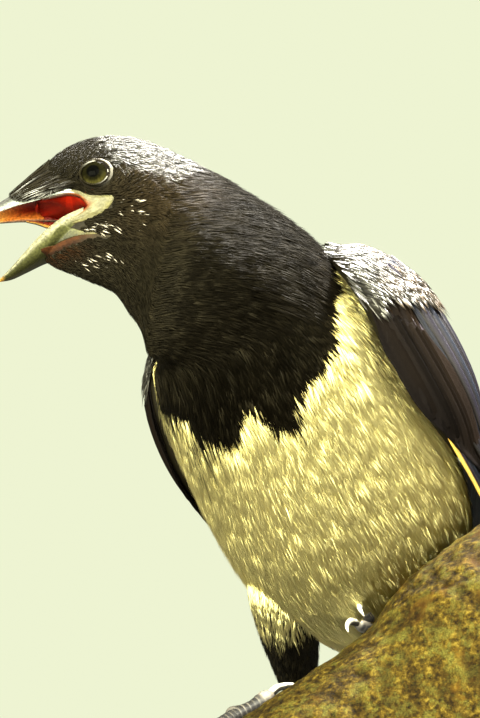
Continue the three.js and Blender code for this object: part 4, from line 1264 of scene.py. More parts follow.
def add_wings():
    arm = smooth_rows(ARM_ROWS, 5)
    for side, hold in HOLDS.items():
        rng = np.random.default_rng(80 + hold[0])
        glossy, matte = [], []
        for tier, (count, roots, tips, width, lift, shaft, over) in TIERS.items():
            chosen = matte if tier in MATTE_TIERS else glossy
            for i in range(count):
                share = i / (count - 1)
                root = lerp(np.array(roots[0], float), np.array(roots[1], float), share)
                tip = lerp(np.array(tips[0], float), np.array(tips[1], float), share)
                tip[0] += rng.normal(0, 0.8)
                place = wing_place(hold, arm, root, tip, lift + rng.normal(0, 0.06), over)
                size = tip[0] - root[0]
                rows, taper = 26 if size > 50 else 16, 0.16 if size > 60 else 0.35
                feather = vane(place, size, width, shaft, rng, rows, tip=taper)
                chosen.append((feather, wing_paint(tier, share, rng)))
        add_vanes(f"wing_{side}_flight", "wing_feathers", WING_VANES, glossy, f"wing_{side}")
        add_vanes(f"wing_{side}_coverts", "wing_feathers", MATTE_VANES, matte)
        add_wing_arm(side, hold, arm, rng)


# The wing's arm: distance along the wing, edges across it, thickness
ARM_ROWS = [
    (-6, 16, 24, 0.5), (0, 8, 34, 6.5), (14, 4, 44, 9), (34, 3, 49, 9.5), (52, 5, 50, 8), (66, 9, 48, 5),
]
ARM_INNER = -6
COVERTS_START, COVERTS_END = -8.0, 15
COVERT_STEP = (1.4, 1.5)  # between rows, and between feathers of a row


def add_wing_arm(side, hold, rows, rng):
    """The wing's arm, and the small coverts that cover its front in rows."""
    turn = circle(36)
    rings = []
    for length, low, high, thick in rows:
        across = lerp(low, high, 0.5 - 0.5 * np.cos(turn))
        height = lerp(ARM_INNER, (thick - 1.2) * hold[3], 0.5 + 0.5 * np.sin(turn))
        rings.append(on_wing(hold, np.full(36, length), across, height))
    mesh = make_mesh("arm", *solid(rings), INK * 0.8)
    add_piece(f"wing_{side}_arm", mesh, "wing_feathers", materials=[BLACK_COAT])

    spots = []
    length = COVERTS_START
    while length < COVERTS_END:
        low, high = (np.interp(length, rows[:, 0], rows[:, k]) for k in (1, 2))
        across = np.arange(low - 1, high + 1, COVERT_STEP[1])
        jitter = rng.normal(0, 0.35, (2, len(across)))
        spots.append(np.column_stack([length + jitter[0], across + jitter[1]]))
        length += COVERT_STEP[0]
    spots = np.vstack(spots)
    low, high = (np.interp(spots[:, 0], rows[:, 0], rows[:, k]) for k in (1, 2))
    outward = smoothstep((spots[:, 1] - low) / (high - low), 0, 0.6)
    spots = spots[spots[:, 0] < lerp(6, COVERTS_END, outward)]
    n = len(spots)
    size = np.interp(spots[:, 0], (COVERTS_START, COVERTS_END), (5, 10)) * rng.uniform(0.7, 1.4, n)
    width = size * 0.5
    ahead, across, height, share = tufts(rng, size, width, 6, 0.1)
    turned_by = rng.normal(0, 0.12, n)[:, None, None]
    at_length = spots[:, 0, None, None] + ahead * np.cos(turned_by) - across * np.sin(turned_by)
    at_across = spots[:, 1, None, None] + ahead * np.sin(turned_by) + across * np.cos(turned_by)
    base = arm_top(rows, hold, at_length, at_across) + 1.8 * smoothstep(at_length, 2, 18)
    base = base - 0.5 * np.clip(-3 - at_length, 0, None)
    lift = base - 0.4 + 1.9 * np.clip(share, 0, None) ** 0.7 + height + rng.normal(0, 0.12, (n, 1, 1))
    laid = on_wing(hold, at_length, at_across, lift)
    hue = rng.random((n, 1, 1, 1)) ** 1.5
    # Coverts away from the arm's inner edge get brown tips, partly painted sunlight.
    from_edge = spots[:, 1] - np.interp(spots[:, 0], rows[:, 0], rows[:, 1])
    edge = smoothstep(from_edge, 1, 7)[:, None, None, None]
    tip = lerp(INK, lerp(INK * 1.5, COVERT_TIP, hue), edge)
    fade = smoothstep(share, 0.25, 0.9)[..., None]
    colour = lerp(INK, tip, fade) * rng.uniform(0.7, 1.3, (n, 6, 1, 1))
    home = np.column_stack([(spots[:, 1] + 5) / 70, (spots[:, 0] + 8) / 90])
    places = bake_places(home, across, width, share)
    add_coat(f"coat_wing_{side}", "wing_feathers", HEAD_COAT, laid, colour, places)


# Tail

TAIL_LENGTH = 205
TAIL_GRADES = (1, 0.93, 0.84, 0.74, 0.64, 0.53)
TAIL_WIDTH = 22
TAIL_LAYER = 0.9
TAIL_FAN = math.radians(1.6)


def in_tail(x, y, z):
    return put(TAIL, np.stack(np.broadcast_arrays(x, y, z), -1))


def tail_place(pair, side):
    length = TAIL_LENGTH * TAIL_GRADES[pair]
    layer = -pair * TAIL_LAYER + (TAIL_LAYER if pair == 0 and side > 0 else 0)
    fan = TAIL_FAN * pair * side
    inner = 1.5 if pair == 0 else TAIL_WIDTH / 2 - 1 + pair * 0.35

    def place(share, across, height):
        x = side * inner * lerp(0.35, 1, smoothstep(share, 0, 0.3)) + across
        y = length * share
        sag = -0.00022 * y**2 - 0.006 * across**2
        return in_tail(x * math.cos(fan) + y * math.sin(fan) * 0.5, y, layer + height + sag)

    return place, length


def add_tail():
    rng = np.random.default_rng(90)
    feathers = []
    for pair in range(len(TAIL_GRADES)):
        for side in (-1, 1):
            place, length = tail_place(pair, side)
            shade = rng.uniform(0.8, 1.2)

            def paint(share, across, side=side, shade=shade):
                sheen = lerp(TEAL, VIOLET * 1.2, smoothstep(share, 0.72, 0.97)[:, None])
                band = (0.5 * np.exp(-(((share - 0.7) / 0.08) ** 2)))[:, None]
                sheen = lerp(sheen, BRASSY, band)
                outer = smoothstep(side * across, -0.25, 0.1)[:, None]
                return lerp(DARK, sheen, outer) * shade

            shaft = 0.0 if pair == 0 else -side * 0.12
            feather = vane(place, length, TAIL_WIDTH, -shaft, rng, 30, tip=0.12, point=0.8)
            feathers.append((feather, paint))
    for face in (-1, 1):
        for index in range(9):
            spot = index - 4
            reach = (52 if face > 0 else 58) - abs(spot) * 4.5

            def place(share, across, height, face=face, spot=spot, reach=reach):
                end = 2.4 if face > 0 else 6.6
                up = face * lerp(7.5, end, share) + height - abs(spot) * 0.4 * face
                return in_tail(spot * 2.5 + across, -6 + reach * share, up)

            def paint(share, across):
                return np.broadcast_to(DARK * 1.1, (len(share), 3))

            feathers.append((vane(place, reach, 11, 0, rng, 16, tip=0.35), paint))
    add_vanes("tail_flight", "tail_feathers", TAIL_VANES, feathers, "tail")


# Bill, tongue, eyes and the flesh at the mouth's corner

UPPER_BILL = [  # forward, ridge, edge, half width
    (6.2, -0.5, -5.6, 11.2), (9, 1.6, -5.2, 10.7), (13, 3.4, -5.2, 9.4), (18, 2.6, -5.9, 7.5),
    (24, 0.3, -6.6, 5.7), (29, -2.6, -7.6, 4.1), (34, -5.9, -8.6, 2.5), (38, -9.3, -9.8, 0.4),
]
LOWER_BILL = [
    (4, -16, -11, 12.2), (10.3, -19.3, -13.3, 10.6), (16.6, -22.6, -17.2, 7.7),
    (21.6, -25.6, -21.6, 5.1), (26, -28, -25.8, 2.9), (29.8, -29, -28.6, 0.4),
]
BILL_HOLLOW = 0.45


def bill_half(rows):
    """Rings of one half of the bill, and for each point how far it is across and whether it is inside."""
    outer = np.linspace(-1, 1, 25)
    inner = np.linspace(0.9, -0.9, 13)
    rings = []
    for forward, ridge, edge, width in smooth_rows(rows, 6):
        width = max(width, 0.25)
        rise = (1 - np.abs(outer) ** 2.4) ** 0.75
        shell = in_head(outer * width, np.full(25, forward), lerp(edge, ridge, rise))
        deep = lerp(edge, ridge, BILL_HOLLOW)
        bowl = in_head(inner * width * 0.92, np.full(13, forward), lerp(deep, edge, np.abs(inner) ** 2))
        rings.append(np.vstack([shell, bowl]))
    within = np.concatenate([np.zeros(25), np.ones(13)])
    return np.array(rings), np.concatenate([outer, inner]), within


def add_bills():
    """Both halves of the bill. Gives back the lower one."""
    for name, rows in (("bill_upper", UPPER_BILL), ("bill_lower", LOWER_BILL)):
        rings, across, within = bill_half(rows)
        verts, faces = loft(rings)
        t = np.linspace(0, 1, len(rings))[:, None, None]
        wide = np.abs(across)[None, :, None]
        deep = within[None, :, None]
        edge = smoothstep(wide, 0.8, 0.97)
        if name == "bill_upper":
            shell = lerp(rgb(0.07, 0.075, 0.08), rgb(0.03, 0.028, 0.022), t)
            shell = lerp(shell, rgb(0.3, 0.33, 0.31), edge * lerp(1, 0.35, t))
            # The palate is dark red in its middle and towards the throat: red flesh, darker still as painted
            # shade deep in the mouth.
            red = smoothstep(wide, 0.95, 0.6) * smoothstep(t, 0.74, 0.5)
            flesh = lerp(PALATE_EDGE, GULLET * 0.8, red)
            yellow = np.maximum(smoothstep(t, 0.6, 0.9), smoothstep(wide, 0.88, 0.98))
            flesh = lerp(flesh, rgb(0.46, 0.27, 0.06), yellow)
        else:
            upper = smoothstep(wide, 0.3, 0.9) * lerp(1, 0.25, smoothstep(t, 0.25, 0.8))
            shell = lerp(HORN_LOW, HORN_SIDE, upper)
            shell = lerp(shell, rgb(0.17, 0.165, 0.115), edge * lerp(0.9, 0.5, t))
            shell = lerp(shell, rgb(0.26, 0.13, 0.022), smoothstep(t, 0.88, 1.0))
            # Dark red in its middle: red flesh, darker still as painted shade deep in the mouth.
            flesh = lerp(PALATE_EDGE, GULLET, smoothstep(wide, 0.8, 0.3))
        tint = lerp(shell, flesh, deep)
        tint = np.vstack([tint.reshape(-1, 3), tint[0].mean(0), tint[-1].mean(0)])
        mesh = make_mesh(name, verts, facing_out(verts, faces), tint)
        half = add_piece(f"{name}_horn", mesh, "horn", name, materials=[HORN])
    return half


TONGUE = [  # forward, up, half width, half height
    (-8, -10.5, 2.6, 1.4), (2, -12.6, 3.1, 1.3), (9, -15, 3.2, 1.1), (15, -18.4, 2.4, 0.9), (20, -22, 1, 0.5),
]


def add_tongue():
    turn = circle(24)
    rings = []
    for forward, up, width, height in smooth_rows(TONGUE, 6):
        groove = -0.35 * height * np.exp(-((np.sin(turn) / 0.25) ** 2)) * (np.cos(turn) > 0)
        rise = up + height * np.cos(turn) + groove
        rings.append(in_head(width * np.sin(turn), np.full(24, forward), rise))
    mesh = make_mesh("tongue", *solid(rings), GULLET * 1.15)
    add_piece("tongue_flesh", mesh, "mouth_flesh", "tongue", materials=[MOUTH])


GAZE = (0.2, -0.08)  # how far the iris looks forward and up
PUPIL_EDGE = (20, 24)  # degrees from the middle of the eye
IRIS_EDGE = (44, 50)


def add_eyes():
    for name, side in (("left", 1), ("right", -1)):
        out = HEAD[:3, 0] * side
        gaze = normal_of(out - HEAD[:3, 1] * GAZE[0] + HEAD[:3, 2] * GAZE[1])
        centre = in_head(side * EYE_OUT, 0, 0)
        verts, faces = ball(centre, EYE_RADIUS, 72, 96, out)
        tilt = np.degrees(np.arccos(np.clip((normal_of(verts - centre) @ gaze), -1, 1)))
        _, forward, up = head_place(verts)
        low = smoothstep(-up - 0.2 * forward, -0.2, 3.4)
        turn = np.arctan2(up, forward)
        rays = 1 + 0.22 * np.sin(23 * turn + 2 * np.sin(5 * turn)) + 0.14 * np.sin(57 * turn)
        # The iris is paler olive only on its lower side: painted light.
        pale = (low * smoothstep(tilt, 26, 43))[:, None]
        iris = lerp(rgb(0.004, 0.0037, 0.0014), rgb(0.03, 0.027, 0.007), pale) * rays[:, None]
        tint = lerp(rgb(0.001, 0.001, 0.001), iris, smoothstep(tilt, *PUPIL_EDGE)[:, None])
        tint = lerp(tint, rgb(0.012, 0.01, 0.008), smoothstep(tilt, *IRIS_EDGE)[:, None])
        bulge = 0.35 * np.exp(-((tilt / 34) ** 2))
        verts = verts + bulge[:, None] * out
        mesh = make_mesh("eye", verts, facing_out(verts, faces), tint)
        add_piece(f"eye_{name}_ball", mesh, "eye", f"eye_{name}", materials=[EYEBALL])
        add_lids(name, side, centre, out)


RIM_RADIUS = 3.8
FOLD_RADIUS = 4.35
RIM_SHIFT = (0.8, -0.35)  # the opening lies forward in its outer fold, as forward and up
FOLD_SHIFT = (0.1, 0.05)
LID_STRETCH = (1.05, 0.97)
GRAINS = 46


def ring_tube(centre, out, radius, lift, thick, sides=12, count=96):
    """A round lip about the eye, a little wider than high."""
    forward, up = -HEAD[:3, 1], HEAD[:3, 2]
    turn = circle(count)
    thick = np.broadcast_to(thick, (count,))
    ray = np.cos(turn)[:, None] * forward * LID_STRETCH[0] + np.sin(turn)[:, None] * up * LID_STRETCH[1]
    spin = circle(sides)
    axis = np.cos(spin)[None, :, None] * ray[:, None] + np.sin(spin)[None, :, None] * out
    lift = np.broadcast_to(lift, (count,))[:, None]
    verts = (centre + out * lift + ray * radius)[:, None] + axis * thick[:, None, None]
    i, k = np.meshgrid(np.arange(count), np.arange(sides), indexing="ij")
    a, b = (i + 1) % count, (k + 1) % sides
    faces = np.stack([i * sides + k, i * sides + b, a * sides + b, a * sides + k], -1).reshape(-1, 4)
    return verts.reshape(-1, 3), facing_out(verts.reshape(-1, 3) - centre, [faces])


def add_lids(name, side, centre, out):
    """The lid's rim, the fold outside it, and a ring of small dark grains between them; rim and fold carry a
    painted highlight at their upper rear.
    """
    forward, up = -HEAD[:3, 1], HEAD[:3, 2]
    turn = circle(96)
    rear = (0.5 + 0.5 * np.cos(turn - 2.5)) ** 3.6
    near = centre + forward * RIM_SHIFT[0] + up * RIM_SHIFT[1]
    rim = ring_tube(near, out, RIM_RADIUS, 3.5, 0.3 + 0.25 * rear + 0.03 * np.sin(9 * turn))
    away = centre + forward * FOLD_SHIFT[0] + up * FOLD_SHIFT[1]
    fold = ring_tube(away, out, FOLD_RADIUS, 2.75, 0.42 + 0.42 * rear + 0.05 * np.sin(14 * turn))
    # The rim and the fold are pale at their upper rear: a painted highlight.
    pale = np.repeat(rear, 12)[:, None]
    rim_tint_with_highlight = lerp(rgb(0.008, 0.007, 0.003), rgb(0.8, 0.78, 0.73), pale)
    fold_tint_with_highlight = lerp(rgb(0.004, 0.0035, 0.002), rgb(0.26, 0.245, 0.22), pale)
    parts = [(*rim, rim_tint_with_highlight), (*fold, fold_tint_with_highlight)]
    rng = np.random.default_rng(100 + side)
    for i in range(GRAINS):
        angle = 2 * np.pi * i / GRAINS
        ray = math.cos(angle) * forward * LID_STRETCH[0] + math.sin(angle) * up * LID_STRETCH[1]
        share = (0.5 + 0.5 * math.cos(angle - 2.5)) ** 2.2
        spot = lerp(near, away, 0.5) + out * (3.75 + 0.25 * share)
        spot = spot + ray * (RIM_RADIUS + 0.45 + 0.05 * share)
        grain = ball(spot, lerp(0.17, 0.36, share) * rng.uniform(0.7, 1.2), 6, 9, out)
        parts.append((*grain, rgb(0.012, 0.01, 0.007) * rng.uniform(0.6, 2.5)))
    verts, faces, tint = joined(parts)
    add_piece(f"lid_{name}", make_mesh("lid", verts, faces, tint), "plumage_black", materials=[LID])


def surface_tree(*pieces):
    points, polygons = [], []
    for piece in pieces:
        first = len(points)
        points.extend(Vector(vert.co) / MM for vert in piece.data.vertices)
        polygons.extend(tuple(corner + first for corner in face.vertices) for face in piece.data.polygons)
    return BVHTree.FromPolygons(points, polygons)


def draped(tree, side, inner, outer, lift, sink, guide=None):
    """A closed patch between two outlines, laid on the surface below it, with each point's shares."""
    inner, outer = smooth_rows(inner, 8), smooth_rows(outer, 8)
    across = np.linspace(0, 1, 17)
    top, under = [], []
    for row, (a, b) in enumerate(zip(inner, outer)):
        t = row / (len(inner) - 1)
        for q in across:
            forward, up = lerp(a, b, q)
            start = Vector(in_head(side * 40, forward, up))
            hit = tree.ray_cast(start, Vector(-side * HEAD[:3, 0]), 60)[0]
            out = head_place(np.array(hit))[0] * side if hit else 0.0
            if guide:
                out = max(out, guide(forward, q))
            top.append(in_head(side * (out + lift(q, t)), forward, up))
            under.append(in_head(side * (out - sink), forward, up))
    rows, columns = len(inner), len(across)
    verts, faces = sheet(*(np.array(grid).reshape(rows, columns, 3) for grid in (top, under)))
    share = np.tile(across, rows)
    along_it = np.repeat(np.linspace(0, 1, rows), columns)
    return verts, faces, share, along_it


def flange_lift(q, t):
    swell = 1.35 * math.sin(math.pi * min(1, q * 0.8 + 0.14)) * (0.35 + 0.65 * math.sin(math.pi * t))
    creases = math.sin(15 * q + 5 * t) + 0.8 * math.sin(26 * t + 3 * q) + 0.6 * math.sin(41 * t - 9 * q)
    return swell + 0.11 * creases * math.sin(math.pi * q)


def add_bare_skin(skin, lower_bill):
    """The pale swollen flesh at the mouth's corner, the jaw's horn, and the bare skin below it."""
    tree, both = surface_tree(skin), surface_tree(skin, lower_bill)
    for name, side in (("left", 1), ("right", -1)):
        guide = lambda forward, q: lip_out(forward) - (1.2 if q < 0.55 else 2.0)
        verts, faces, share, t = draped(tree, side, FLANGE_INNER, FLANGE_OUTER, flange_lift, 1.2, guide)
        red = np.exp(-((share / 0.13) ** 2))[:, None]
        tint = lerp(rgb(0.13, 0.122, 0.07), rgb(0.17, 0.038, 0.007), red * 0.9)
        patches = np.sin(13 * t + 7 * share) * np.sin(31 * t - 5 * share)
        olive = smoothstep(share, 0.4, 1) * (0.5 + 0.5 * patches)
        tint = lerp(tint, rgb(0.1, 0.09, 0.024), olive[:, None] * 0.8)
        tint = lerp(tint, rgb(0.27, 0.29, 0.26), smoothstep(t, 0.2, 0.05)[:, None])
        mesh = make_mesh("flange", verts, faces, np.vstack([tint, np.broadcast_to(GULLET, tint.shape)]))
        add_piece(f"gape_{name}", mesh, "mouth_flesh", materials=[GAPE_FLESH])

        lift = lambda q, t: 0.05 + 0.4 * t * (1 - t)
        verts, faces, share, t = draped(both, side, FLANK_TOP, FLANK_BOTTOM, lift, 0.8)
        tint = lerp(HORN_SIDE, HORN_LOW, share[:, None])
        tint = lerp(tint, rgb(0.06, 0.05, 0.014), smoothstep(t, 0.4, 0.9)[:, None])
        mesh = make_mesh("flank", verts, faces, np.vstack([tint, tint]))
        add_piece(f"jaw_horn_{name}", mesh, "horn", materials=[HORN])

        lift = lambda q, t: 0.05 + 0.2 * q * (1 - q)
        verts, faces, share, t = draped(both, side, JAW_TOP, JAW_BOTTOM, lift, 0.8)
        patch_mask = 0.5 + 0.5 * np.sin(23 * t + 6 * share) * np.sin(47 * t - 9 * share)
        dull = np.clip(smoothstep(share, 0.3, 1) + 0.4 * patch_mask, 0, 1)[:, None]
        tint = lerp(ORANGE_SKIN, ORANGE_SKIN * 0.3, dull)
        tint = lerp(tint, INK * 3, smoothstep(t, 0.55, 1)[:, None])
        mesh = make_mesh("jaw", verts, faces, np.vstack([tint, tint]))
        add_piece(f"jaw_skin_{name}", mesh, "mouth_flesh", materials=[SKIN])
    add_far_lip()


# Fold of skin hanging from the upper bill's edge on the bird's right: forward, edge, drop, place across
FAR_LIP = [
    (22, -6.2, 0.2, 5.9), (19, -5.8, 0.9, 7.0), (16, -5.5, 1.9, 8.2), (13, -5.2, 2.9, 9.3),
    (10, -5.1, 3.6, 10.2), (7, -5.3, 3.4, 11), (4, -7, 1.5, 11.6),
]


def add_far_lip():
    rings, shades = [], []
    for forward, edge, drop, out in smooth_rows(FAR_LIP, 6):
        low = np.linspace(0, 1, 7)
        side = -np.concatenate([out - 0.15 - 0 * low, out + 0.45 + 0 * low])
        up = np.concatenate([edge + 0.4 - (drop + 0.4) * low, edge + 0.4 - (drop + 0.4) * low[::-1]])
        rings.append(in_head(side, np.full(14, forward), up))
        shades.append(np.concatenate([low, 0.75 + 0.25 * low[::-1]]))
    share = np.array(shades).ravel()[:, None]
    tint = lerp(GULLET, rgb(0.4, 0.22, 0.04), smoothstep(share, 0.45, 0.75))
    tint = lerp(tint, rgb(0.02, 0.015, 0.01), smoothstep(share, 0.84, 0.96))
    mesh = make_mesh("far_lip", *solid(rings), np.vstack([tint, tint[:1], tint[-1:]]))
    add_piece("far_lip", mesh, "mouth_flesh", materials=[GAPE_FLESH])


def lip_out(forward):
    """How far out the lip at the mouth's corner stands, for a place along it."""
    return float(np.interp(forward, (-6, 2.4, 5, 9.5, 15), (13.6, 12.6, 12, 10.6, 9.0)))


# Bristles over the bill's base


def fibres(paths, radii):
    """Thin three-sided spikes along paths of several points each."""
    n, rows = paths.shape[:2]
    way = normal_of(np.gradient(paths, axis=1))
    side = normal_of(np.cross(way, np.array((0.12, 0.3, 1.0))))
    lift = np.cross(side, way)
    turn = circle(3)
    ring = np.cos(turn)[:, None] * side[:, :, None] + np.sin(turn)[:, None] * lift[:, :, None]
    points = paths[:, :, None] + ring * np.asarray(radii)[..., None, None]
    i, k = np.meshgrid(np.arange(rows - 1), np.arange(3), indexing="ij")
    nxt = (k + 1) % 3
    quads = np.stack([i * 3 + k, i * 3 + nxt, (i + 1) * 3 + nxt, (i + 1) * 3 + k], -1).reshape(-1, 4)
    faces = (quads[None] + (np.arange(n) * rows * 3)[:, None, None]).reshape(-1, 4)
    return points.reshape(-1, 3), faces


BRISTLES = 2300
BRISTLE_GLINT_LINES = 66  # turns of the wave that sets which of them carry painted glints
BRISTLE_RADII = (0.14, 0.18, 0.19, 0.17, 0.14, 0.1, 0.04)
BRISTLE_GLINT = (0, 0, 0.1, 0.6, 1, 0.8, 0.2)  # how strong their painted glint is along their length


def add_bristles():
    """Stiff forward bristles on the forehead and the lores, ending bluntly together, with painted glints
    along some of them.
    """
    rng = np.random.default_rng(110)
    share = rng.random(BRISTLES) ** 0.85
    side = rng.choice((-1.0, 1.0), BRISTLES)
    start = np.column_stack([lerp(10.5, 8.5, share), lerp(11.6, -3.2, share), lerp(1.6, 9.9, share)])
    end = np.column_stack([lerp(26.8, 23, share**2.5), lerp(-0.5, -5.6, share), lerp(0.4, 6.9, share)])
    back = rng.uniform(-4.5, 4.5, BRISTLES)
    start[:, 0] += back
    start[:, 1] += rng.normal(0, 0.5, BRISTLES) - back * 0.28
    start[:, 2] += rng.normal(0, 0.4, BRISTLES)
    shorter = rng.random(BRISTLES) ** 2.2 * 9
    end[:, 0] -= shorter
    end[:, 1] += rng.normal(0, 0.35, BRISTLES) + shorter * 0.16 * (1 - share)
    end[:, 2] += rng.normal(0, 0.3, BRISTLES) + shorter * 0.1
    t = np.linspace(0, 1, 7)[None, :, None]
    bulge = np.sin(np.pi * t**0.8) * rng.uniform(0.7, 1.5, (BRISTLES, 1, 1))
    path = lerp(start[:, None], end[:, None], t)
    path[..., 1] += bulge[..., 0] * (1 - share[:, None]) * 0.6
    path[..., 2] += bulge[..., 0] * (0.25 + share[:, None]) + 0.1
    points = in_head(side[:, None] * path[..., 2], path[..., 0], path[..., 1])
    radii = np.array(BRISTLE_RADII)[None] * rng.uniform(0.6, 1.15, (BRISTLES, 1))
    verts, faces = fibres(points, radii)
    shade = rng.uniform(0.4, 1.6, BRISTLES)
    # Pale streaks along some bristles are painted glints.
    glint_line = np.sin(BRISTLE_GLINT_LINES * share + rng.normal(0, 0.25, BRISTLES)) > 0.62
    pale = glint_line * rng.uniform(0.1, 0.45, BRISTLES) * smoothstep(share, 0.1, 0.35)
    along_it = np.tile(np.repeat(BRISTLE_GLINT, 3), BRISTLES)
    tint = np.repeat(INK[None] * shade[:, None], 21, axis=0) + (np.repeat(pale, 21) * along_it)[:, None]
    home = np.column_stack([side * share * 0.4 + 0.5, 0.1 + back * 0.01 + 0.04])
    rows = np.tile(np.repeat(np.linspace(0, 1, 7), 3), BRISTLES)
    patch = np.stack([rows, np.tile([0, 0.5, 1], 7 * BRISTLES)], -1)
    places = np.repeat(home, 21, axis=0) + patch * TUFT_PATCH
    mesh = make_mesh("bristles", verts, [faces], tint, {"OFBake": places})
    add_piece("coat_bristles", mesh, "plumage_black", materials=[BLACK_COAT])


# Perch, feet and stand

BRANCH_AT = np.array((15.3, 4.2, 162.9))
BRANCH_YAW, BRANCH_SLOPE = math.radians(30), math.radians(40)
BRANCH_RADIUS = 34
BRANCH_ENDS = (-110.0, 140.0)
UPWARD = np.array((0, 0, 1))
BRANCH_FLAT = np.array((math.cos(BRANCH_YAW), math.sin(BRANCH_YAW), 0))
BRANCH_WAY = BRANCH_FLAT * math.cos(BRANCH_SLOPE) + UPWARD * math.sin(BRANCH_SLOPE)
BRANCH_UP = UPWARD * math.cos(BRANCH_SLOPE) - BRANCH_FLAT * math.sin(BRANCH_SLOPE)
BRANCH_BACK = np.array((-math.sin(BRANCH_YAW), math.cos(BRANCH_YAW), 0))


# How much the branch's upper side stands out from its mean radius, at distances along it
TOP_LINE = [
    (-110, 2.5), (-50, 4.5), (-28, 4.1), (-10, 2.2), (10, -0.2), (21, -0.2), (34, 3), (46, 3.8), (70, 2.8),
    (140, 1.5),
]


def branch_radius(x, a):
    swell = 1.6 * np.sin(x / 31) + 0.9 * np.sin(x / 17 + 2 * a)
    under = 2.2 * np.cos(2 * a + 0.6 + x / 90) + 1.2 * np.cos(3 * a - x / 55)
    top = along(TOP_LINE, x) * np.cos(a / 2) ** 2
    return BRANCH_RADIUS + (swell + under) * (0.25 + 0.75 * smoothstep(np.abs(a), 0.5, 1.6)) + top


def on_branch(x, a, height=0.0):
    x, a, height = np.broadcast_arrays(x, a, height)
    out = branch_radius(x, a) + height
    ring = BRANCH_UP * (out * np.cos(a))[..., None] + BRANCH_BACK * (out * np.sin(a))[..., None]
    return BRANCH_AT + BRANCH_WAY * x[..., None] + ring


def waves(x, y, rng, scale, count):
    """A rough field from many random waves, from about -1 to 1."""
    total = np.zeros(np.shape(x))
    for _ in range(count):
        turn, phase = rng.uniform(0, np.pi), rng.uniform(0, 2 * np.pi)
        size = scale * rng.uniform(0.6, 1.7)
        total += np.sin((x * np.cos(turn) + y * np.sin(turn)) / size + phase)
    return total / math.sqrt(count)


def add_perch():
    """The branch: bark with furrows and plates, and sawn ends with rings."""
    rng = np.random.default_rng(120)
    rows, sides = 280, 210
    x = np.linspace(*BRANCH_ENDS, rows)
    a = np.linspace(-np.pi, np.pi, sides, endpoint=False)
    x, a = np.meshgrid(x, a, indexing="ij")
    arc = a * BRANCH_RADIUS
    u, v, w = x, BRANCH_RADIUS * np.sin(a), BRANCH_RADIUS * np.cos(a)
    plates = np.abs(waves(u, v + 0.6 * w, rng, 4.2, 7)) - 0.6
    rough = waves(u, v - 0.4 * w, rng, 1.6, 9)
    fine = waves(u, v + 0.2 * w, rng, 0.75, 10)
    height = 0.2 * plates + 0.26 * rough + 0.28 * fine
    calm = np.ones_like(height)
    for leg in LEGS.values():
        foot_x, foot_a = leg[2][0], math.radians(leg[2][1])
        under_foot = (foot_x - 6, foot_a * BRANCH_RADIUS - 8)
        calm *= 1 - 0.65 * round_spot(x, arc, under_foot, (26, 26))
    height = np.clip(height, -0.9, 0.75) * calm - 0.15
    points = on_branch(x, a, height)
    verts, faces = loft(points)
    # The bark is darker down in its furrows: painted shade.
    crack = smoothstep(height, -0.55, 0.1)
    tint = lerp(rgb(0.45, 0.4, 0.36), rgb(1.08, 1.06, 1.0), crack.ravel()[:, None])
    tint = np.vstack([tint, np.full((2, 3), 0.8)])
    mesh = make_mesh("bark", verts, facing_out(verts, faces[:1]), tint)
    add_piece("perch_bark", mesh, "bark", "perch", materials=[BARK])
    for name, end, sign in (("low", 0, -1), ("high", rows - 1, 1)):
        rim = points[end]
        middle = rim.mean(0)
        shares = np.linspace(0.02, 1, 46)
        rings = middle + (rim - middle)[None] * shares[:, None, None]
        crack = 0.25 * np.sin(shares * 60) + 0.35 * smoothstep(shares, 0.9, 1.0)
        rings = rings - BRANCH_WAY * sign * (0.25 + 0.12 * crack)[:, None, None]
        rings[-1] = rim
        verts = rings.reshape(-1, 3)
        block = grid_faces(len(shares), sides, ends=False)
        year = 0.5 + 0.5 * np.sin(shares * 75 + 1.5 * np.sin(shares * 9))
        wood = lerp(rgb(0.3, 0.19, 0.085), rgb(0.42, 0.29, 0.15), year[:, None])
        wood = lerp(wood, rgb(0.12, 0.08, 0.045), smoothstep(shares, 0.93, 0.97)[:, None])
        tint = np.repeat(wood, sides, axis=0)
        verts = np.vstack([verts, middle - BRANCH_WAY * sign * 0.3])
        centre = np.full(sides, len(verts) - 1)
        k = np.arange(sides)
        cap = np.stack([centre, (k + 1) % sides, k], -1)
        mesh = make_mesh("cut_end", verts, [*block, cap], np.vstack([tint, wood[:1]]))
        add_piece(f"perch_cut_{name}", mesh, "bark", materials=[CUT_WOOD])


TOE_RADIUS = 2.0
TOE_SHARES = (0, 0.3, 0.5, 0.65, 0.85, 1)
TOE_RADII = (2.2, 1.95, 1.85, 2.3, 2.6, 1.8)
CLAW_LENGTH = 9
CLAW_HOOK = ((-0.12, 1.2), (0.12, 1.55), (0.38, 1.7), (0.68, 1.35), (0.88, 0.8), (0.98, 0.2))
CLAW_RADII = (1.2, 1.3, 1.15, 0.9, 0.6, 0.14)
PALM_HEIGHT = 3
GAP = 0.3


def limb_rays(rows, turn, wide=1.0):
    """Directions from a limb's spine to the points round it."""
    left, up = rows[:, None, 3:6], rows[:, None, 6:9]
    return left * (wide * np.sin(turn))[None, :, None] + up * np.cos(turn)[None, :, None]


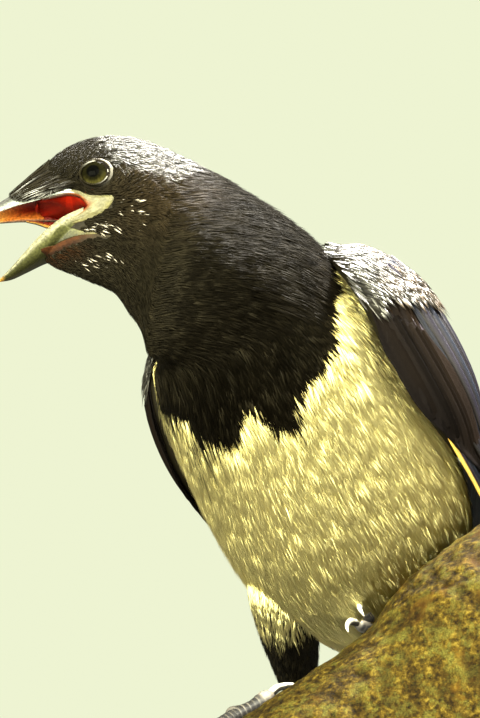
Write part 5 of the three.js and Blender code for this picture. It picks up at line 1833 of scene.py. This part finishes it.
def scaly_tube(points, radii, pitch, sides=16, ridge=0.16, pale_end=1.0):
    """A limb covered by overlapping plates on its upper side, with a colour for each point."""
    rows = limb_rows(np.asarray(points, float), radii, 16)
    gaps = np.linalg.norm(np.diff(rows[:, :3], axis=0), axis=1)
    at = np.concatenate([[0], np.cumsum(gaps)])
    spot = np.linspace(0, at[-1], max(12, int(at[-1] / pitch * 6)))
    rows = np.column_stack([np.interp(spot, at, column) for column in rows.T])
    turn = circle(sides)
    saw = (spot / pitch) % 1
    plate = smoothstep(saw, 0, 0.25) * (1 - 0.55 * saw)
    over = 0.35 + 0.65 * smoothstep(np.cos(turn), -0.3, 0.4)
    radius = rows[:, 9:10] + ridge * (plate[:, None] - 0.5) * over[None] * 2
    points = rows[:, None, :3] + limb_rays(rows, turn) * radius[..., None]
    pale = np.exp(-(((saw - 0.08) / 0.09) ** 2))[:, None] * over[None]
    tint = lerp(rgb(0.022, 0.021, 0.024), rgb(0.2, 0.18, 0.16), pale[..., None] * 0.75)
    # Towards the limb's end the upper side turns pale grey: partly the toe pads' own colour, partly painted
    # sunlight.
    patch_mask = smoothstep(spot / at[-1], pale_end - 0.12, pale_end + 0.1)[:, None]
    patch_mask = patch_mask * smoothstep(np.cos(turn), -0.35, 0.5)[None]
    tint = lerp(tint, rgb(0.42, 0.37, 0.34), patch_mask[..., None] * 0.85 * (1 - 0.5 * pale[..., None]))
    tint = np.vstack([tint.reshape(-1, 3), tint[0].mean(0), tint[-1].mean(0)])
    return *solid(points), tint


def claw(points, radii):
    rows = limb_rows(np.asarray(points, float), radii, 8)
    turn = circle(14)
    points = rows[:, None, :3] + limb_rays(rows, turn, 0.75) * rows[:, 9][:, None, None]
    share = np.repeat(np.linspace(0, 1, len(rows)), 14)
    # Claws are pale on their upper side as painted sunlight and near-black beneath as painted shade.
    upper = smoothstep(np.tile(np.cos(turn), len(rows)), -0.25, 0.35)[:, None]
    tint = lerp(rgb(0.02, 0.018, 0.016), rgb(0.72, 0.7, 0.66), upper)
    tint = lerp(tint, rgb(0.34, 0.28, 0.2), smoothstep(share, 0.8, 1.0)[:, None] * 0.5)
    return *solid(points), np.vstack([tint, tint[:1], tint[-1:]])


def add_feet():
    for name, (_, ankle, foot, toes, rise) in LEGS.items():
        palm = on_branch(foot[0], math.radians(foot[1]), GAP + PALM_HEIGHT)
        shank = [lerp(palm, np.array(ankle, float), t) for t in (0, 0.25, 0.6, 0.9, 1)]
        parts = [scaly_tube(shank, (2.7, 2.0, 1.8, 2.2, 2.6), 3.1, 20, 0.14)]
        claws = []
        for degrees, length in toes:
            way = math.radians(degrees)

            def place(distance, height):
                x = foot[0] - math.cos(way) * distance
                a = math.radians(foot[1]) + math.sin(way) * distance / BRANCH_RADIUS
                return on_branch(x, a, height)

            path = []
            for t in TOE_SHARES:
                path.append(place(length * t, GAP + TOE_RADIUS * lerp(1.3, 1.02, t) + rise * t * t))
            parts.append(scaly_tube(path, TOE_RADII, 1.75, 16, 0.13, 0.75))
            nail = [place(length + CLAW_LENGTH * t, GAP + TOE_RADIUS * h + rise) for t, h in CLAW_HOOK]
            claws.append(claw(nail, CLAW_RADII))
        scales = make_mesh("foot", *joined(parts))
        add_piece(f"foot_{name}_scales", scales, "scutes", f"foot_{name}", materials=[SCUTES])
        add_piece(f"claws_{name}", make_mesh("claws", *joined(claws)), "scutes", materials=[HORN])


# The turned base from its underside to its top, and a rod with its collar, as radius and height
BASE_PROFILE = [
    (0, 0), (94, 0), (95.5, 0.7), (96, 2), (96, 5), (95.2, 6.2), (93.6, 6.8), (93.2, 7.6), (93.4, 8.6),
    (94.4, 9.6), (94.6, 11), (93.8, 12.6), (92, 13.6), (89, 14), (72, 14), (70.8, 13.6), (69.6, 14), (0, 14),
]
COLLAR_PROFILE = [(6.4, 13.9), (6.4, 15.4), (5.8, 16), (4.3, 16.1), (4, 16.4)]
ROD_RADIUS = 4
ROD_PLACES = {"low": -34, "high": 62}  # distance along the branch


def add_stand():
    """The turned base and the two rods, with small collars where they enter it."""
    sides = 160
    turn = circle(sides)
    fine = [BASE_PROFILE[0]]
    for (r0, z0), (r1, z1) in zip(BASE_PROFILE, BASE_PROFILE[1:]):
        steps = max(1, int(math.hypot(r1 - r0, z1 - z0) / 6))
        fine.extend((lerp(r0, r1, (k + 1) / steps), lerp(z0, z1, (k + 1) / steps)) for k in range(steps))
    ring = np.column_stack([np.cos(turn), np.sin(turn)])
    rings = [np.column_stack([ring * max(r, 0.01), np.full(sides, z)]) for r, z in fine]
    wood, steel = turned_wood_finish(), steel_finish()
    mesh = make_mesh("base", *solid(rings))
    add_piece("stand_base_turned", mesh, "stand_wood", "stand_base", materials=[wood])
    for name, x in ROD_PLACES.items():
        top = on_branch(np.array(x), np.array(np.pi))
        rings = []
        for radius, z in [*COLLAR_PROFILE, (ROD_RADIUS, top[2] + 6)]:
            rings.append(np.column_stack([ring * radius + top[:2], np.full(sides, z)]))
        mesh = make_mesh("rod", *solid(rings))
        add_piece(f"stand_rod_{name}_steel", mesh, "stand_steel", f"stand_rod_{name}", materials=[steel])


# Stage


def add_stage():
    floor = bpy.data.meshes.new("floor")
    floor.from_pydata([(-3, -3, 0), (3, -3, 0), (3, 3, 0), (-3, 3, 0)], [], [(0, 1, 2, 3)])
    floor.materials.append(floor_finish())
    ground = bpy.data.objects.new("floor", floor)
    bpy.context.scene.collection.objects.link(ground)
    world = bpy.data.worlds.new("pale")
    world.use_nodes = True
    nodes, links = world.node_tree.nodes, world.node_tree.links
    around = nodes["Background"]
    around.inputs["Color"].default_value = (0.96, 1.0, 0.84, 1)
    around.inputs["Strength"].default_value = 0.2
    behind = nodes.new("ShaderNodeBackground")
    behind.inputs["Color"].default_value = (0.9, 0.95, 0.68, 1)
    behind.inputs["Strength"].default_value = 0.95
    either = nodes.new("ShaderNodeMixShader")
    links.new(nodes.new("ShaderNodeLightPath").outputs["Is Camera Ray"], either.inputs["Fac"])
    links.new(around.outputs["Background"], either.inputs[1])
    links.new(behind.outputs["Background"], either.inputs[2])
    links.new(either.outputs["Shader"], nodes["World Output"].inputs["Surface"])
    bpy.context.scene.world = world
    bpy.context.scene.view_settings.view_transform = "Standard"
    lamps = [  # place, aim, size, power, colour
        ((0.57, 0.42, 1.3), (-0.03, -0.03, 0.32), 0.12, 115.0, (1.0, 0.95, 0.86)),
        ((-0.01, 0.33, 1.65), (-0.05, -0.08, 0.33), 0.35, 130.0, (1.0, 0.96, 0.88)),
        ((1.4, -0.75, 0.5), (0.0, 0.0, 0.27), 1.4, 92.0, (1.0, 0.97, 0.78)),
        ((0.0, -1.15, 0.03), (-0.02, -0.02, 0.25), 1.2, 165.0, (1.0, 0.97, 0.68)),
    ]
    for place, aim, size, power, colour in lamps:
        light = bpy.data.lights.new("lamp", "AREA")
        light.energy = power
        light.size = size
        light.color = colour
        lamp = bpy.data.objects.new("lamp", light)
        lamp.location = place
        lamp.rotation_euler = (Vector(aim) - Vector(place)).to_track_quat("-Z", "Y").to_euler()
        bpy.context.scene.collection.objects.link(lamp)


CAMERA_AIM = np.array((-20, -25, 287)) * MM
CAMERA_AWAY = 0.72
CAMERA_AZIMUTH, CAMERA_ELEVATION = math.radians(30), math.radians(-21)
FOCAL_PIXELS = 2322.6
IMAGE_HEIGHT = 718
SENSOR = 36.0


def add_camera():
    back = np.array((
        math.sin(CAMERA_AZIMUTH) * math.cos(CAMERA_ELEVATION),
        -math.cos(CAMERA_AZIMUTH) * math.cos(CAMERA_ELEVATION),
        math.sin(CAMERA_ELEVATION),
    ))
    lens = bpy.data.cameras.new("camera")
    lens.sensor_fit = "VERTICAL"
    lens.sensor_height = SENSOR
    lens.lens = FOCAL_PIXELS / IMAGE_HEIGHT * SENSOR
    lens.clip_start = 0.01
    camera = bpy.data.objects.new("camera", lens)
    camera.location = CAMERA_AIM + back * CAMERA_AWAY
    camera.rotation_euler = Vector(back).to_track_quat("Z", "Y").to_euler()
    bpy.context.scene.collection.objects.link(camera)
    bpy.context.scene.camera = camera


add_camera()
add_stage()
skin_piece = add_skin()
add_body_coat()
add_thigh_coat()
add_wings()
add_tail()
lower_bill = add_bills()
add_tongue()
add_eyes()
add_bare_skin(skin_piece, lower_bill)
add_bristles()
add_perch()
add_feet()
add_stand()
